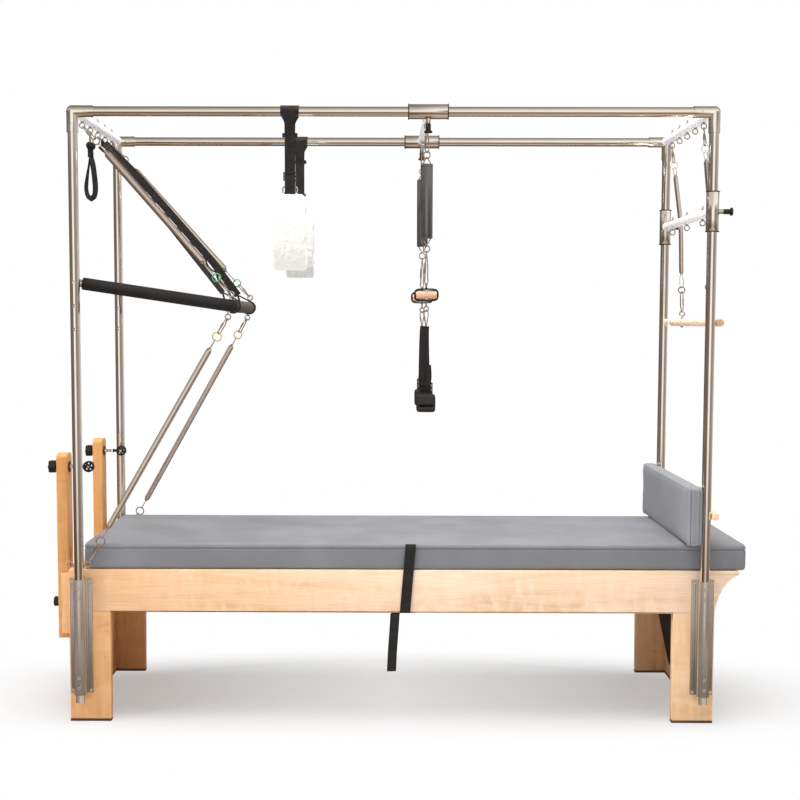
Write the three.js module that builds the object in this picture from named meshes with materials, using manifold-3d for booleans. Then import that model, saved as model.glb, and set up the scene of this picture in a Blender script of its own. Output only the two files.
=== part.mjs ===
// Pilates trapeze table: a padded bench with a tall tube frame over it, and the springs, straps,
// bars and handles that hang from the frame. Lengths are millimetres. +Z is up, the length of the
// table runs along X and its depth along Y. The bar that swings is at the -X end.

import * as THREE from 'three';
import * as BufferGeometryUtils from 'three/addons/utils/BufferGeometryUtils.js';
import Module from 'manifold-3d';

const wasm = await Module();
wasm.setup();

// Clearances shared by all pieces
const fitGap = 0.3;
const overrun = 3;
const weldDistance = 0.0001;

// Tube frame
const uprightSpan = 2090;
const depthSpan = 690;
const railHeight = 2035;
const uprightFoot = 73;
const tubeRadius = 16;
const tubeWall = 2;
const elbowRadius = 19;
const elbowArm = 68;
const elbowSeat = 38;
const crossbarRadius = 15;
const crossbarInset = 5;
const holePitch = 77;
const holeCount = 3;
const ankleEyeHeight = 541.5;

// Eyes, hooks and rings
const eyeRadius = 9;
const eyeWire = 2.5;
const eyeStem = 3.5;
const eyePitch = 115;
const crossbarEyeCount = 5;
const linkWire = 2;
const hookHalfLength = 30;
const hookHalfWidth = 8;
const ringRadius = 12;
const ringWire = 2.2;

// Wooden bench
const legMargin = 42;
const legWidth = 138;
const benchHalfDepth = 320;
const panelThickness = 27;
const endPanelThickness = 25;
const railTop = 521;
const railDepth = 143;
const footThickness = 8;
const deckThickness = 12.5;
const deckReach = 80;
const coveDrop = 138;
const coveWaistShare = 0.125;
const coveHeightShare = 0.78;
const strapSlot = 5;

// Brackets that hold the uprights on the bench
const bracketBottom = 100;
const bracketTop = 490;
const bracketHalfWidth = 38;
const bracketFlange = 5;
const bracketWeb = 20;
const socketWall = 4.5;

// Mattress and its safety strap
const mattressLeftInset = 9;
const mattressRightReach = 147;
const mattressHeight = 85;
const mattressHalfDepth = 322;
const mattressRound = 9;
const mattressCrown = 4;
const mattressStepCount = 12;
const mattressRowCount = 6;
const webbingThickness = 2.5;
const mattressStrapWidth = 40;
const mattressStrapX = 52;
const mattressTailWidth = 36;
const mattressTailX = 8;
const mattressTailBottom = 177;

// Push-through bar at the left uprights
const barPivotHeight = 1480;
const barDroop = THREE.MathUtils.degToRad(8.4);
const barReach = 515;
const barHalfWidth = 300;
const barSteelRadius = 12.5;
const barBend = 30;
const barStub = 14;
const barPadRadius = 20.5;
const barPadStart = 4;
const padSetback = 2;
const barPinRadius = 5;
const barHubRadius = 13;
const barEyeOffset = 38;
const barEyeInset = 6;
const gripRadius = 22;

// Springs
const coilTurnCount = 10;
const coilStepCount = 6;
const coilSideCount = 4;
const coilLeadShare = 0.5;
const heavyCoilRadius = 10.5;
const lightCoilRadius = 7.5;
const heavyWire = 1.7;
const lightWire = 1.3;
const heavySpringLength = 510;
const lightSpringLength = 720;
const armSpringLength = 372;
const heavySpringStart = 112;
const lightSpringStart = 112;
const armSpringStart = 104;

// Two black safety straps from the left crossbar to the push-through bar
const daisyWidth = 25;
const daisyThickness = 4;
const daisyGripY = 240;
const daisyKnot = 14;

// Sliders with their sleeves, crossbars and spring plungers
const sleeveRadius = 21;
const sleeveHalfLength = 66;
const sleeveRim = 4;
const rimRadius = 22.5;
const endSliderDrop = 320.5;
const topSliderX = 115;
const sliderEyeY = 220;
const stringY = 230;
const bossRadius = 7.5;
const bossLength = 16;
const pinRadius = 3;
const knobRadius = 12;
const knobLength = 29;
const knobNeckShare = 0.55;
const plungerSideCount = 8;

// Roll-down bar with two arm springs at the right end
const rollBarRadius = 13.5;
const rollBarHalfLength = 344;
const rollBarDrop = 682;
const rollBarOut = 34;
const rollSpringOut = 26.5;
const rollEyeY = 190;
const rollEyeDrop = 28;

// Straps and handles hanging from the rails
const fuzzyX = 336;
const fuzzyRearExtraX = 13;
const fuzzyStrapWidth = 34;
const fuzzyCollarWidth = 52;
const fuzzyStrapDrop = 192;
const fuzzyBuckleWidth = 46;
const fuzzyBuckleHeight = 28;
const fuzzyBuckleThickness = 9;
const fuzzyRingHalfWidth = 26;
const fuzzyRingHalfHeight = 15;
const fuzzyRingWire = 2.5;
const fleeceWidth = 118;
const fleeceHeight = 249;
const fleeceHalfDepth = 42;
const fleeceThickness = 15;

// Hanging strings: padded handle, wooden grip and foot strap under each other
const stringRingDrop = 104;
const padWidth = 42;
const padLength = 245;
const padThickness = 15;
const padGap = 15;
const gripLength = 71;
const gripWoodRadius = 15;
const gripDrop = 566;
const footWebWidth = 25;
const footWebLength = 186;
const footBuckleWidth = 49;
const footBuckleHeight = 41;
const cuffWidth = 69;
const cuffHeight = 58;
const cuffDepth = 44;

// Small hand loop on the left crossbar
const handLoopDrop = 246;
const handLoopHalfWidth = 22;
const handLoopHeight = 148;
const handLoopWidth = 25;
const handKnotRadius = 11;

// Riser posts with pulleys at the left end
const postY = 265;
const postHalfWidth = 35;
const postThickness = 35;
const postTop = 908;
const postBottom = 282;
const postRound = 17;
const slotHalfWidth = 6;
const slotBottom = 302;
const slotTop = 588;
const guideBottom = 300;
const guideTop = 505;
const guideBack = 5;
const guideCheek = 8;
const guideGrip = 22;
const pulleyHeight = 862;
const starRadius = 22;
const starLobeCount = 6;
const starDepthShare = 0.16;
const starLength = 24;
const starStem = 8;
const boltRadius = 5;
const washerRadius = 12;
const washerThickness = 3;
const wheelReach = 66;
const wheelRadius = 18.5;
const wheelThickness = 12;
const wheelGroove = 4;
const wheelHoleCount = 5;
const wheelHoleRadius = 3.2;
const wheelHoleCircle = 10.5;
const wheelBore = 3.6;
const axleRadius = 3;
const cheekThickness = 2.5;
const cheekRadius = 14;
const cheekGap = 0.8;
const lockHeight = 400;
const lockRadius = 17;
const lockLength = 22;

// Cushion across the right end
const cushionBoardThickness = 6.4;
const cushionThickness = 36;
const cushionHalfWidth = 374;
const cushionTop = 803;
const cushionCrown = 4;
const cushionRound = 8;
const cushionStepCount = 4;
const cushionRowCount = 8;
const cushionLayerCount = 5;
const cushionRoundShares = [0, 1 - Math.SQRT1_2, 1];
const cushionBoardInset = 8;
const clampY = 290;
const clampRadius = 6;
const battenThickness = 21;
const battenHeight = 22;
const battenHalfLength = 366;
const battenZ = 711;

// Black strap bundle under the deck at the right end
const bundleInset = 26;
const bundleThickness = 12;
const bundleFarZ = 235;
const bundleFold = 165;
const bundleTip = 100;
const bundleNearY = 40;
const bundleTipY = 57;
const bundleFoldY = 272;
const bundleFarY = 252;

// Number of sides of round pieces
const tubeSideCount = 12;
const smallSideCount = 6;
const ringStepCount = 8;
const ringSideCount = 4;
const stemSideCount = 4;
const bendStepCount = 3;

// Materials, with colours from the photograph
const maple = { color: 0xf2cfa4, roughness: 0.5, metalness: 0 };
const darkWood = { color: 0x5a3320, roughness: 0.6, metalness: 0 };
const steel = { color: 0xc9bcae, roughness: 0.25, metalness: 1 };
const aluminium = { color: 0xb3a9a0, roughness: 0.4, metalness: 1 };
const springSteel = { color: 0x9c8a78, roughness: 0.3, metalness: 1 };
const vinyl = { color: 0x7b7c80, roughness: 0.55, metalness: 0 };
const blackFoam = { color: 0x232121, roughness: 0.8, metalness: 0 };
const greyFoam = { color: 0x4b4444, roughness: 0.85, metalness: 0 };
const webbing = { color: 0x1e1c1c, roughness: 0.85, metalness: 0 };
const fleece = { color: 0xfaf8f4, roughness: 1, metalness: 0 };
const handlePad = { color: 0x464648, roughness: 0.9, metalness: 0 };
const blackPlastic = { color: 0x151414, roughness: 0.5, metalness: 0 };

// The radius of a faceted bore that clears a round piece however the two are turned
function bore(radius, sides) {
  return (radius + fitGap) / Math.cos(Math.PI / sides);
}

// Sizes worked out from the driving dimensions
const uprightX = uprightSpan / 2;
const railY = depthSpan / 2;
const boreRadius = bore(tubeRadius, tubeSideCount);
const holeRadius = bore(barPinRadius, smallSideCount);
const legOuter = uprightX + legMargin;
const legInner = legOuter - legWidth;
const railBottom = railTop - railDepth;
const panelInner = benchHalfDepth - panelThickness;
const endPanelInner = legOuter - endPanelThickness;
const woodBottom = footThickness + fitGap;
const deckStep = uprightX + strapSlot;
const deckBottom = railTop - deckThickness;
const deckEnd = legOuter + deckReach;
const mattressLeft = uprightX - mattressLeftInset;
const mattressRight = uprightX + mattressRightReach;
const mattressBottom = railTop + fitGap;
const mattressTop = mattressBottom + mattressHeight;
const socketRadius = boreRadius + socketWall;
const postInner = legOuter + guideBack + fitGap + fitGap;
const postOuter = postInner + postThickness;
const starInner = postOuter + fitGap;
const starOuter = starInner + starStem + starLength;
const axleX = wheelReach - postInner;
const eyeDrop = eyeRadius + eyeStem;
const linkReach = eyeRadius - eyeWire - linkWire - fitGap * 2;
const crossbarX = uprightX - crossbarInset;
const crossEyeHeight = railHeight - crossbarRadius - eyeDrop;
const endSliderHeight = railHeight - endSliderDrop;
const rollBarHeight = railHeight - rollBarDrop;
const cushionFace = uprightX - tubeRadius - fitGap * 2 - cushionBoardThickness - cushionThickness;
const bundleX = endPanelInner - bundleInset;
const plungerTip = boreRadius + fitGap;
const bossEnd = sleeveRadius + bossLength;
const plungerEnd = bossEnd + fitGap + knobLength;

const xAxis = new THREE.Vector3(1, 0, 0);
const yAxis = new THREE.Vector3(0, 1, 0);
const zAxis = new THREE.Vector3(0, 0, 1);

function at(x, y, z) {
  return new THREE.Vector3(x, y, z);
}

// Drops everything but positions, welds equal corners and turns the faces outward
function weld(geometry) {
  const bare = geometry.clone();
  for (const name of Object.keys(bare.attributes)) {
    if (name !== 'position') bare.deleteAttribute(name);
  }
  const merged = BufferGeometryUtils.mergeVertices(bare, weldDistance);
  const source = merged.index.array;
  const kept = [];
  for (let i = 0; i < source.length; i += 3) {
    const [a, b, c] = [source[i], source[i + 1], source[i + 2]];
    if (a !== b && b !== c && c !== a) kept.push(a, b, c);
  }
  merged.setIndex(kept);
  if (signedVolume(merged) < 0) {
    merged.setIndex(kept.reverse());
  }
  return merged;
}

function signedVolume(geometry) {
  const p = geometry.attributes.position;
  const index = geometry.index.array;
  const [a, b, c] = [at(0, 0, 0), at(0, 0, 0), at(0, 0, 0)];
  let volume = 0;
  for (let i = 0; i < index.length; i += 3) {
    a.fromBufferAttribute(p, index[i]);
    b.fromBufferAttribute(p, index[i + 1]);
    c.fromBufferAttribute(p, index[i + 2]);
    volume += a.dot(b.cross(c)) / 6;
  }
  return volume;
}

function toSolid(geometry) {
  const merged = weld(geometry);
  return new wasm.Manifold(new wasm.Mesh({
    numProp: 3,
    vertProperties: new Float32Array(merged.attributes.position.array),
    triVerts: new Uint32Array(merged.index.array),
  }));
}

function fromSolid(solid) {
  const mesh = solid.getMesh();
  const geometry = new THREE.BufferGeometry();
  geometry.setAttribute('position', new THREE.BufferAttribute(mesh.vertProperties, 3));
  geometry.setIndex(new THREE.BufferAttribute(mesh.triVerts, 1));
  return geometry;
}

function join(...pieces) {
  return fromSolid(pieces.map(toSolid).reduce((all, next) => all.add(next)));
}

function cut(body, ...tools) {
  return fromSolid(tools.map(toSolid).reduce((left, tool) => left.subtract(tool), toSolid(body)));
}

// A block between two corners
function block(x0, x1, y0, y1, z0, z1) {
  const geometry = new THREE.BoxGeometry(x1 - x0, y1 - y0, z1 - z0);
  return geometry.translate((x0 + x1) / 2, (y0 + y1) / 2, (z0 + z1) / 2);
}

// Lays a geometry made along +Z from the origin so that it starts at a point and runs along a direction
function lay(geometry, start, direction) {
  const turn = new THREE.Quaternion().setFromUnitVectors(zAxis, direction.clone().normalize());
  return geometry.applyQuaternion(turn).translate(start.x, start.y, start.z);
}

function rod(a, b, radius, sides = tubeSideCount) {
  const span = b.clone().sub(a);
  const geometry = new THREE.CylinderGeometry(radius, radius, span.length(), sides);
  return lay(geometry.rotateX(Math.PI / 2).translate(0, 0, span.length() / 2), a, span);
}

// Turns a profile of radius and height about a direction, with height zero at a point
function revolve(profile, start, direction, sides) {
  const points = profile.map(([radius, height]) => new THREE.Vector2(radius, height));
  return lay(new THREE.LatheGeometry(points, sides).rotateX(Math.PI / 2), start, direction);
}

function pipe(a, b, outer, inner, sides = tubeSideCount) {
  const span = b.clone().sub(a);
  const length = span.length();
  return revolve([[inner, 0], [outer, 0], [outer, length], [inner, length], [inner, 0]], a, span, sides);
}

// Extrudes an outline drawn in X and Z between two depths
function plateXZ(shape, y0, y1, curveSegments = smallSideCount) {
  const geometry = new THREE.ExtrudeGeometry(shape, { depth: y1 - y0, bevelEnabled: false, curveSegments });
  return geometry.rotateX(Math.PI / 2).translate(0, y1, 0);
}

// Extrudes an outline drawn in Y and Z between two places along the length
function plateYZ(shape, x0, x1, curveSegments = smallSideCount) {
  const geometry = new THREE.ExtrudeGeometry(shape, { depth: x1 - x0, bevelEnabled: false, curveSegments });
  const turn = new THREE.Matrix4().makeBasis(yAxis, zAxis, xAxis);
  return geometry.applyMatrix4(turn).translate(x0, 0, 0);
}

// Extrudes an outline drawn in X and Y between two heights
function plateXY(shape, z0, z1, curveSegments = smallSideCount) {
  const geometry = new THREE.ExtrudeGeometry(shape, { depth: z1 - z0, bevelEnabled: false, curveSegments });
  return geometry.translate(0, 0, z0);
}

function polygon(points) {
  return new THREE.Shape(points.map(([a, b]) => new THREE.Vector2(a, b)));
}

function roundedBox(a0, a1, b0, b1, radius) {
  const shape = new THREE.Shape();
  shape.moveTo(a0 + radius, b0);
  shape.lineTo(a1 - radius, b0);
  shape.absarc(a1 - radius, b0 + radius, radius, -Math.PI / 2, 0, false);
  shape.lineTo(a1, b1 - radius);
  shape.absarc(a1 - radius, b1 - radius, radius, 0, Math.PI / 2, false);
  shape.lineTo(a0 + radius, b1);
  shape.absarc(a0 + radius, b1 - radius, radius, Math.PI / 2, Math.PI, false);
  shape.lineTo(a0, b0 + radius);
  shape.absarc(a0 + radius, b0 + radius, radius, Math.PI, Math.PI * 1.5, false);
  return shape;
}

// A round tube through a list of points: open lists get flat ends, closed ones meet themselves
function sweep(points, radius, sides, closed) {
  const rings = points.length;
  const positions = [];
  let normal = null;
  for (let i = 0; i < rings; i += 1) {
    const before = points[closed ? (i + rings - 1) % rings : Math.max(i - 1, 0)];
    const after = points[closed ? (i + 1) % rings : Math.min(i + 1, rings - 1)];
    const tangent = after.clone().sub(before).normalize();
    if (normal === null) {
      const guide = Math.abs(tangent.z) < Math.SQRT1_2 ? zAxis : xAxis;
      normal = guide.clone();
    }
    normal.addScaledVector(tangent, -normal.dot(tangent)).normalize();
    const side = tangent.clone().cross(normal);
    for (let k = 0; k < sides; k += 1) {
      const angle = (2 * Math.PI * k) / sides;
      const corner = points[i].clone();
      corner.addScaledVector(normal, radius * Math.cos(angle));
      corner.addScaledVector(side, radius * Math.sin(angle));
      positions.push(corner.x, corner.y, corner.z);
    }
  }
  const index = [];
  const spans = closed ? rings : rings - 1;
  for (let i = 0; i < spans; i += 1) {
    const next = (i + 1) % rings;
    for (let k = 0; k < sides; k += 1) {
      const l = (k + 1) % sides;
      const [a, b, c, d] = [i * sides + k, i * sides + l, next * sides + k, next * sides + l];
      index.push(a, b, d, a, d, c);
    }
  }
  if (!closed) {
    const last = (rings - 1) * sides;
    for (let k = 1; k < sides - 1; k += 1) {
      index.push(0, k + 1, k);
      index.push(last, last + k, last + k + 1);
    }
  }
  const geometry = new THREE.BufferGeometry();
  geometry.setAttribute('position', new THREE.Float32BufferAttribute(positions, 3));
  geometry.setIndex(index);
  return geometry;
}

// A closed loop of wire with straight sides and round ends, longest along one direction
function wireLoop(centre, along, across, halfLength, halfWidth, wire) {
  const u = along.clone().normalize();
  const v = across.clone().addScaledVector(u, -across.dot(u)).normalize();
  const straight = halfLength - halfWidth;
  const half = ringStepCount / 2;
  const points = [];
  for (let i = 0; i <= half; i += 1) {
    const angle = -Math.PI / 2 + (Math.PI * i) / half;
    points.push([straight + halfWidth * Math.cos(angle), halfWidth * Math.sin(angle)]);
  }
  for (let i = 0; i <= half; i += 1) {
    const angle = Math.PI / 2 + (Math.PI * i) / half;
    points.push([-straight + halfWidth * Math.cos(angle), halfWidth * Math.sin(angle)]);
  }
  const single = points.filter(([a, b], i) => {
    const [c, d] = points[(i + 1) % points.length];
    return Math.hypot(a - c, b - d) > weldDistance;
  });
  const placed = single.map(([a, b]) => centre.clone().addScaledVector(u, a).addScaledVector(v, b));
  return sweep(placed, wire, ringSideCount, true);
}

// An eyebolt under a bar: a ring on a short stem
function eyebolt(x, y, barZ, barRadius) {
  const ringZ = barZ - barRadius - eyeDrop;
  return [
    wireLoop(at(x, y, ringZ), zAxis, xAxis, eyeRadius, eyeRadius, eyeWire),
    rod(at(x, y, ringZ + eyeRadius - eyeWire / 2), at(x, y, ringZ + eyeDrop + eyeWire), eyeWire,
      stemSideCount),
  ];
}

// A wound spring on a centre line: one unbroken wire that runs straight from a first point, spirals
// out, turns, spirals in again and runs straight to a last point
let leastCoilGap = Infinity;

function windSpring(curve, radius, wire, first, last) {
  const steps = coilTurnCount * coilStepCount;
  const points = [];
  points.push(first);
  for (let i = 0; i <= steps; i += 1) {
    const t = i / steps;
    const turnsDone = t * coilTurnCount;
    const swell = Math.min(1, turnsDone / coilLeadShare, (coilTurnCount - turnsDone) / coilLeadShare);
    const tangent = curve.getTangentAt(t);
    const side = tangent.clone().cross(yAxis).normalize();
    const other = tangent.clone().cross(side);
    const angle = 2 * Math.PI * turnsDone;
    const point = curve.getPointAt(t);
    point.addScaledVector(side, radius * swell * Math.cos(angle));
    point.addScaledVector(other, radius * swell * Math.sin(angle));
    points.push(point);
  }
  points.push(last);
  for (let i = 0; i < points.length; i += 1) {
    for (let j = i + coilStepCount - 1; j < points.length; j += 1) {
      leastCoilGap = Math.min(leastCoilGap, points[i].distanceTo(points[j]) - wire * 2);
    }
  }
  return sweep(points, wire, coilSideCount, false);
}

// The place of the wire that hangs in an eye, pulled along a direction
function inEye(eye, pull) {
  const flat = at(pull.x, 0, pull.z).normalize();
  return eye.clone().addScaledVector(flat, linkReach);
}

// A spring with its hooks and rings between two eyes; the coil starts a named distance from the first
function hookedSpring(eyeA, eyeB, coilStart, coilLength, coilRadius, wire) {
  const pull = eyeB.clone().sub(eyeA).normalize();
  const a = inEye(eyeA, pull);
  const b = inEye(eyeB, pull.clone().negate());
  const u = b.clone().sub(a).normalize();
  const span = b.distanceTo(a);
  const place = (distance) => a.clone().addScaledVector(u, distance);
  const coilEnd = coilStart + coilLength;
  const side = u.clone().cross(yAxis).normalize();
  const coil = new THREE.LineCurve3(place(coilStart), place(coilEnd));
  const lastRing = span - hookHalfLength * 2 - ringRadius + linkWire;
  return join(
    wireLoop(place(hookHalfLength), u, yAxis, hookHalfLength, hookHalfWidth, linkWire),
    windSpring(coil, coilRadius, wire, place(hookHalfLength * 2 - linkWire / 2),
      place(lastRing - ringRadius + ringWire / 2)),
    wireLoop(place(lastRing), u, side, ringRadius, ringRadius, ringWire),
    wireLoop(place(span - hookHalfLength), u, yAxis, hookHalfLength, hookHalfWidth, linkWire),
  );
}

const table = new THREE.Group();

function add(parent, name, geometry, finish) {
  const mesh = new THREE.Mesh(weld(geometry), new THREE.MeshStandardMaterial(finish));
  mesh.name = name;
  parent.add(mesh);
  return mesh;
}

const sides = [['front', -1], ['rear', 1]];
const ends = [['left', -1], ['right', 1]];

// Side panels: a rail with two legs, and a cove under the deck at the right end
function sidePanelOutline() {
  const shape = new THREE.Shape();
  shape.moveTo(-legOuter, woodBottom);
  shape.lineTo(-legOuter, railTop);
  shape.lineTo(deckStep, railTop);
  shape.lineTo(deckStep, deckBottom - fitGap);
  shape.lineTo(deckEnd, deckBottom - fitGap);
  shape.quadraticCurveTo(
    legOuter + deckReach * coveWaistShare, deckBottom - coveDrop * (1 - coveHeightShare),
    legOuter, deckBottom - coveDrop,
  );
  shape.lineTo(legOuter, woodBottom);
  shape.lineTo(legInner, woodBottom);
  shape.lineTo(legInner, railBottom);
  shape.lineTo(-legInner, railBottom);
  shape.lineTo(-legInner, woodBottom);
  return shape;
}

function addBench() {
  for (const [side, sy] of sides) {
    const near = Math.min(sy * benchHalfDepth, sy * panelInner);
    add(table, `${side}_side_panel`, plateXZ(sidePanelOutline(), near, near + panelThickness), maple);
  }
  const endY = panelInner - fitGap;
  const leftPanel = block(-legOuter, -endPanelInner, -endY, endY, woodBottom, railTop);
  add(table, 'left_end_panel', join(leftPanel, ...sides.map(([, sy]) => postGuide(sy))), maple);
  const rightPanel = block(endPanelInner, legOuter, -endY, endY, woodBottom, deckBottom - fitGap);
  add(table, 'right_end_panel', rightPanel, maple);
  const nose = deckThickness / 2;
  const deck = join(
    block(-endPanelInner + fitGap, deckEnd - nose, -endY, endY, deckBottom, railTop),
    block(deckStep + fitGap, deckEnd - nose, -benchHalfDepth, benchHalfDepth, deckBottom, railTop),
    rod(at(deckEnd - nose, -benchHalfDepth, deckBottom + nose),
      at(deckEnd - nose, benchHalfDepth, deckBottom + nose), nose, smallSideCount * 2),
  );
  add(table, 'deck_board', deck, maple);
  for (const [end, sx] of ends) {
    const outline = polygon([
      [sx * legOuter, -benchHalfDepth],
      [sx * legOuter, benchHalfDepth],
      [sx * legInner, benchHalfDepth],
      [sx * legInner, panelInner],
      [sx * endPanelInner, panelInner],
      [sx * endPanelInner, -panelInner],
      [sx * legInner, -panelInner],
      [sx * legInner, -benchHalfDepth],
    ]);
    add(table, `foot_strip_${end}`, plateXY(outline, 0, footThickness), darkWood);
  }
}

// A channel on the left end panel that the riser post slides in
function postGuide(sy) {
  const back = -(legOuter + guideBack);
  const outer = postHalfWidth + fitGap + guideCheek;
  const inner = postHalfWidth + fitGap;
  const lip = -(postInner + guideGrip);
  const outline = polygon([
    [-endPanelInner - endPanelThickness / 2, sy * postY - outer],
    [lip, sy * postY - outer],
    [lip, sy * postY - inner],
    [back, sy * postY - inner],
    [back, sy * postY + inner],
    [lip, sy * postY + inner],
    [lip, sy * postY + outer],
    [-endPanelInner - endPanelThickness / 2, sy * postY + outer],
  ]);
  const channel = plateXY(outline, guideBottom, guideTop);
  const legSide = block(-legOuter - fitGap, -endPanelInner, sy * panelInner - fitGap * sy,
    sy * benchHalfDepth, guideBottom - overrun, guideTop + overrun);
  return cut(channel, legSide);
}

// Extruded brackets: a flange on the leg, a web and a round socket that holds the upright
function addBrackets() {
  for (const [side, sy] of sides) {
    for (const [end, sx] of ends) {
      const face = benchHalfDepth + fitGap;
      const x = sx * uprightX;
      const y = sy * railY;
      const flangeNear = Math.min(sy * face, sy * (face + bracketFlange));
      const webNear = Math.min(sy * face, y);
      const body = join(
        block(x - bracketHalfWidth, x + bracketHalfWidth, flangeNear, flangeNear + bracketFlange,
          bracketBottom, bracketTop),
        block(x - bracketWeb / 2, x + bracketWeb / 2, webNear, webNear + railY - face,
          bracketBottom, bracketTop),
        rod(at(x, y, bracketBottom), at(x, y, bracketTop), socketRadius),
      );
      const bore = rod(at(x, y, bracketBottom - overrun), at(x, y, bracketTop + overrun), boreRadius);
      add(table, `bracket_${side}_${end}`, cut(body, bore), aluminium);
    }
  }
}

// Uprights: open tubes, the left ones with a row of holes and two eyes near the mattress
function addUprights() {
  const top = railHeight - elbowSeat - fitGap;
  for (const [side, sy] of sides) {
    for (const [end, sx] of ends) {
      const x = sx * uprightX;
      const y = sy * railY;
      let tube = pipe(at(x, y, uprightFoot), at(x, y, top), tubeRadius, tubeRadius - tubeWall);
      if (end === 'left') {
        const holes = [];
        for (let i = 0; i < holeCount; i += 1) {
          const z = barPivotHeight - i * holePitch;
          holes.push(rod(at(x, y - tubeRadius - overrun, z), at(x, y + tubeRadius + overrun, z),
            holeRadius, smallSideCount));
        }
        const offset = tubeRadius + eyeStem + eyeRadius;
        const eyes = [-1, 1].flatMap((s) => [
          wireLoop(at(x + s * offset, y, ankleEyeHeight), zAxis, xAxis, eyeRadius, eyeRadius, eyeWire),
          rod(at(x + s * (tubeRadius - tubeWall / 2), y, ankleEyeHeight),
            at(x + s * (offset - eyeRadius), y, ankleEyeHeight), eyeWire, stemSideCount),
        ]);
        tube = join(cut(tube, ...holes), ...eyes);
      }
      add(table, `upright_${side}_${end}`, tube, steel);
    }
  }
}

// A corner elbow: two arms that meet in a ball, with a bored socket for the upright and one for the rail
function elbow(sx, sy) {
  const x = sx * uprightX;
  const y = sy * railY;
  const ball = new THREE.SphereGeometry(elbowRadius, tubeSideCount, smallSideCount).rotateX(Math.PI / 2);
  const body = join(
    ball.translate(x, y, railHeight),
    rod(at(x, y, railHeight - elbowArm), at(x, y, railHeight), elbowRadius),
    rod(at(x - sx * elbowArm, y, railHeight), at(x, y, railHeight), elbowRadius),
  );
  return cut(body,
    rod(at(x, y, railHeight - elbowArm - overrun), at(x, y, railHeight - elbowSeat), boreRadius),
    rod(at(x - sx * (elbowArm + overrun), y, railHeight), at(x - sx * elbowSeat, y, railHeight), boreRadius));
}

function addTopFrame() {
  const railHalf = uprightX - elbowSeat - fitGap;
  for (const [side, sy] of sides) {
    const y = sy * railY;
    const tube = pipe(at(-railHalf, y, railHeight), at(railHalf, y, railHeight),
      tubeRadius, tubeRadius - tubeWall);
    add(table, `rail_${side}`, tube, steel);
  }
  for (const [end, sx] of ends) {
    const x = sx * crossbarX;
    const eyes = [];
    const middle = (crossbarEyeCount - 1) / 2;
    for (let i = 0; i < crossbarEyeCount; i += 1) {
      eyes.push(...eyebolt(x, (i - middle) * eyePitch, railHeight, crossbarRadius));
    }
    const barHalf = railY - tubeRadius / 2;
    const bar = rod(at(x, -barHalf, railHeight), at(x, barHalf, railHeight), crossbarRadius);
    const corners = sides.map(([, sy]) => elbow(sx, sy));
    const bores = sides.map(([, sy]) => rod(at(sx * (uprightX - elbowArm - overrun), sy * railY, railHeight),
      at(sx * (uprightX - elbowSeat), sy * railY, railHeight), boreRadius));
    add(table, `crossbar_${end}`, cut(join(bar, ...corners, ...eyes), ...bores), steel);
  }
}

// How far out a point lies, from 0 in the middle to 1 at the edge, whatever the rounding of its place
function shareOf(place, half) {
  return Math.min(Math.abs(place / half), 1);
}

// A cushion with rounded edges and a crowned top; its layers of points lie close to both faces
function cushionForm(length, depth, height, round, crown, stepsAlong, stepsAcross) {
  const geometry = new THREE.BoxGeometry(length, depth, height, stepsAlong, stepsAcross, cushionLayerCount);
  const p = geometry.attributes.position;
  const [hx, hy, hz] = [length / 2, depth / 2, height / 2];
  const lastShare = cushionRoundShares.length - 1;
  for (let i = 0; i < p.count; i += 1) {
    const [x, y, z] = [p.getX(i), p.getY(i), p.getZ(i)];
    const layer = Math.round(((hz - Math.abs(z)) * cushionLayerCount) / height);
    const draw = round * cushionRoundShares[lastShare - layer];
    const level = Math.sign(z) * (hz - round * cushionRoundShares[layer]);
    const bulge = Math.sqrt(1 - shareOf(x, hx) ** 4) * Math.sqrt(1 - shareOf(y, hy) ** 4);
    const rise = level > 0 ? (crown * (bulge - 1) * level) / hz : 0;
    p.setXYZ(i, x * (1 - draw / hx), y * (1 - draw / hy), level + rise);
  }
  return geometry;
}

function addMattress() {
  const length = mattressLeft + mattressRight;
  const form = cushionForm(length, mattressHalfDepth * 2, mattressHeight, mattressRound, mattressCrown,
    mattressStepCount, mattressRowCount);
  form.translate((mattressRight - mattressLeft) / 2, 0, mattressBottom + mattressHeight / 2);
  add(table, 'mattress', form, vinyl);

  const inner = mattressHalfDepth + fitGap;
  const outer = inner + webbingThickness;
  const top = mattressTop + fitGap;
  const bottom = railBottom - fitGap;
  const loop = roundedBox(-outer, outer, bottom - webbingThickness, top + webbingThickness,
    webbingThickness * 2);
  loop.holes.push(roundedBox(-inner, inner, bottom, top, webbingThickness));
  const strapX = mattressStrapX - mattressStrapWidth / 2;
  const tailX = mattressTailX - mattressTailWidth / 2;
  const band = plateYZ(loop, strapX, strapX + mattressStrapWidth, 2);
  const foldX = Math.max(tailX + mattressTailWidth, strapX) + webbingThickness;
  const tail = join(
    block(tailX, tailX + mattressTailWidth, -inner, -inner + webbingThickness, mattressTailBottom,
      bottom - webbingThickness / 2),
    block(tailX, foldX, -inner, -inner + mattressStrapWidth, bottom - webbingThickness, bottom),
  );
  add(table, 'mattress_strap', join(band, tail), webbing);
}

// Push-through bar: a U of steel tube on pins in the left uprights, with padded arms and grip
const barGroup = new THREE.Group();

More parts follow.
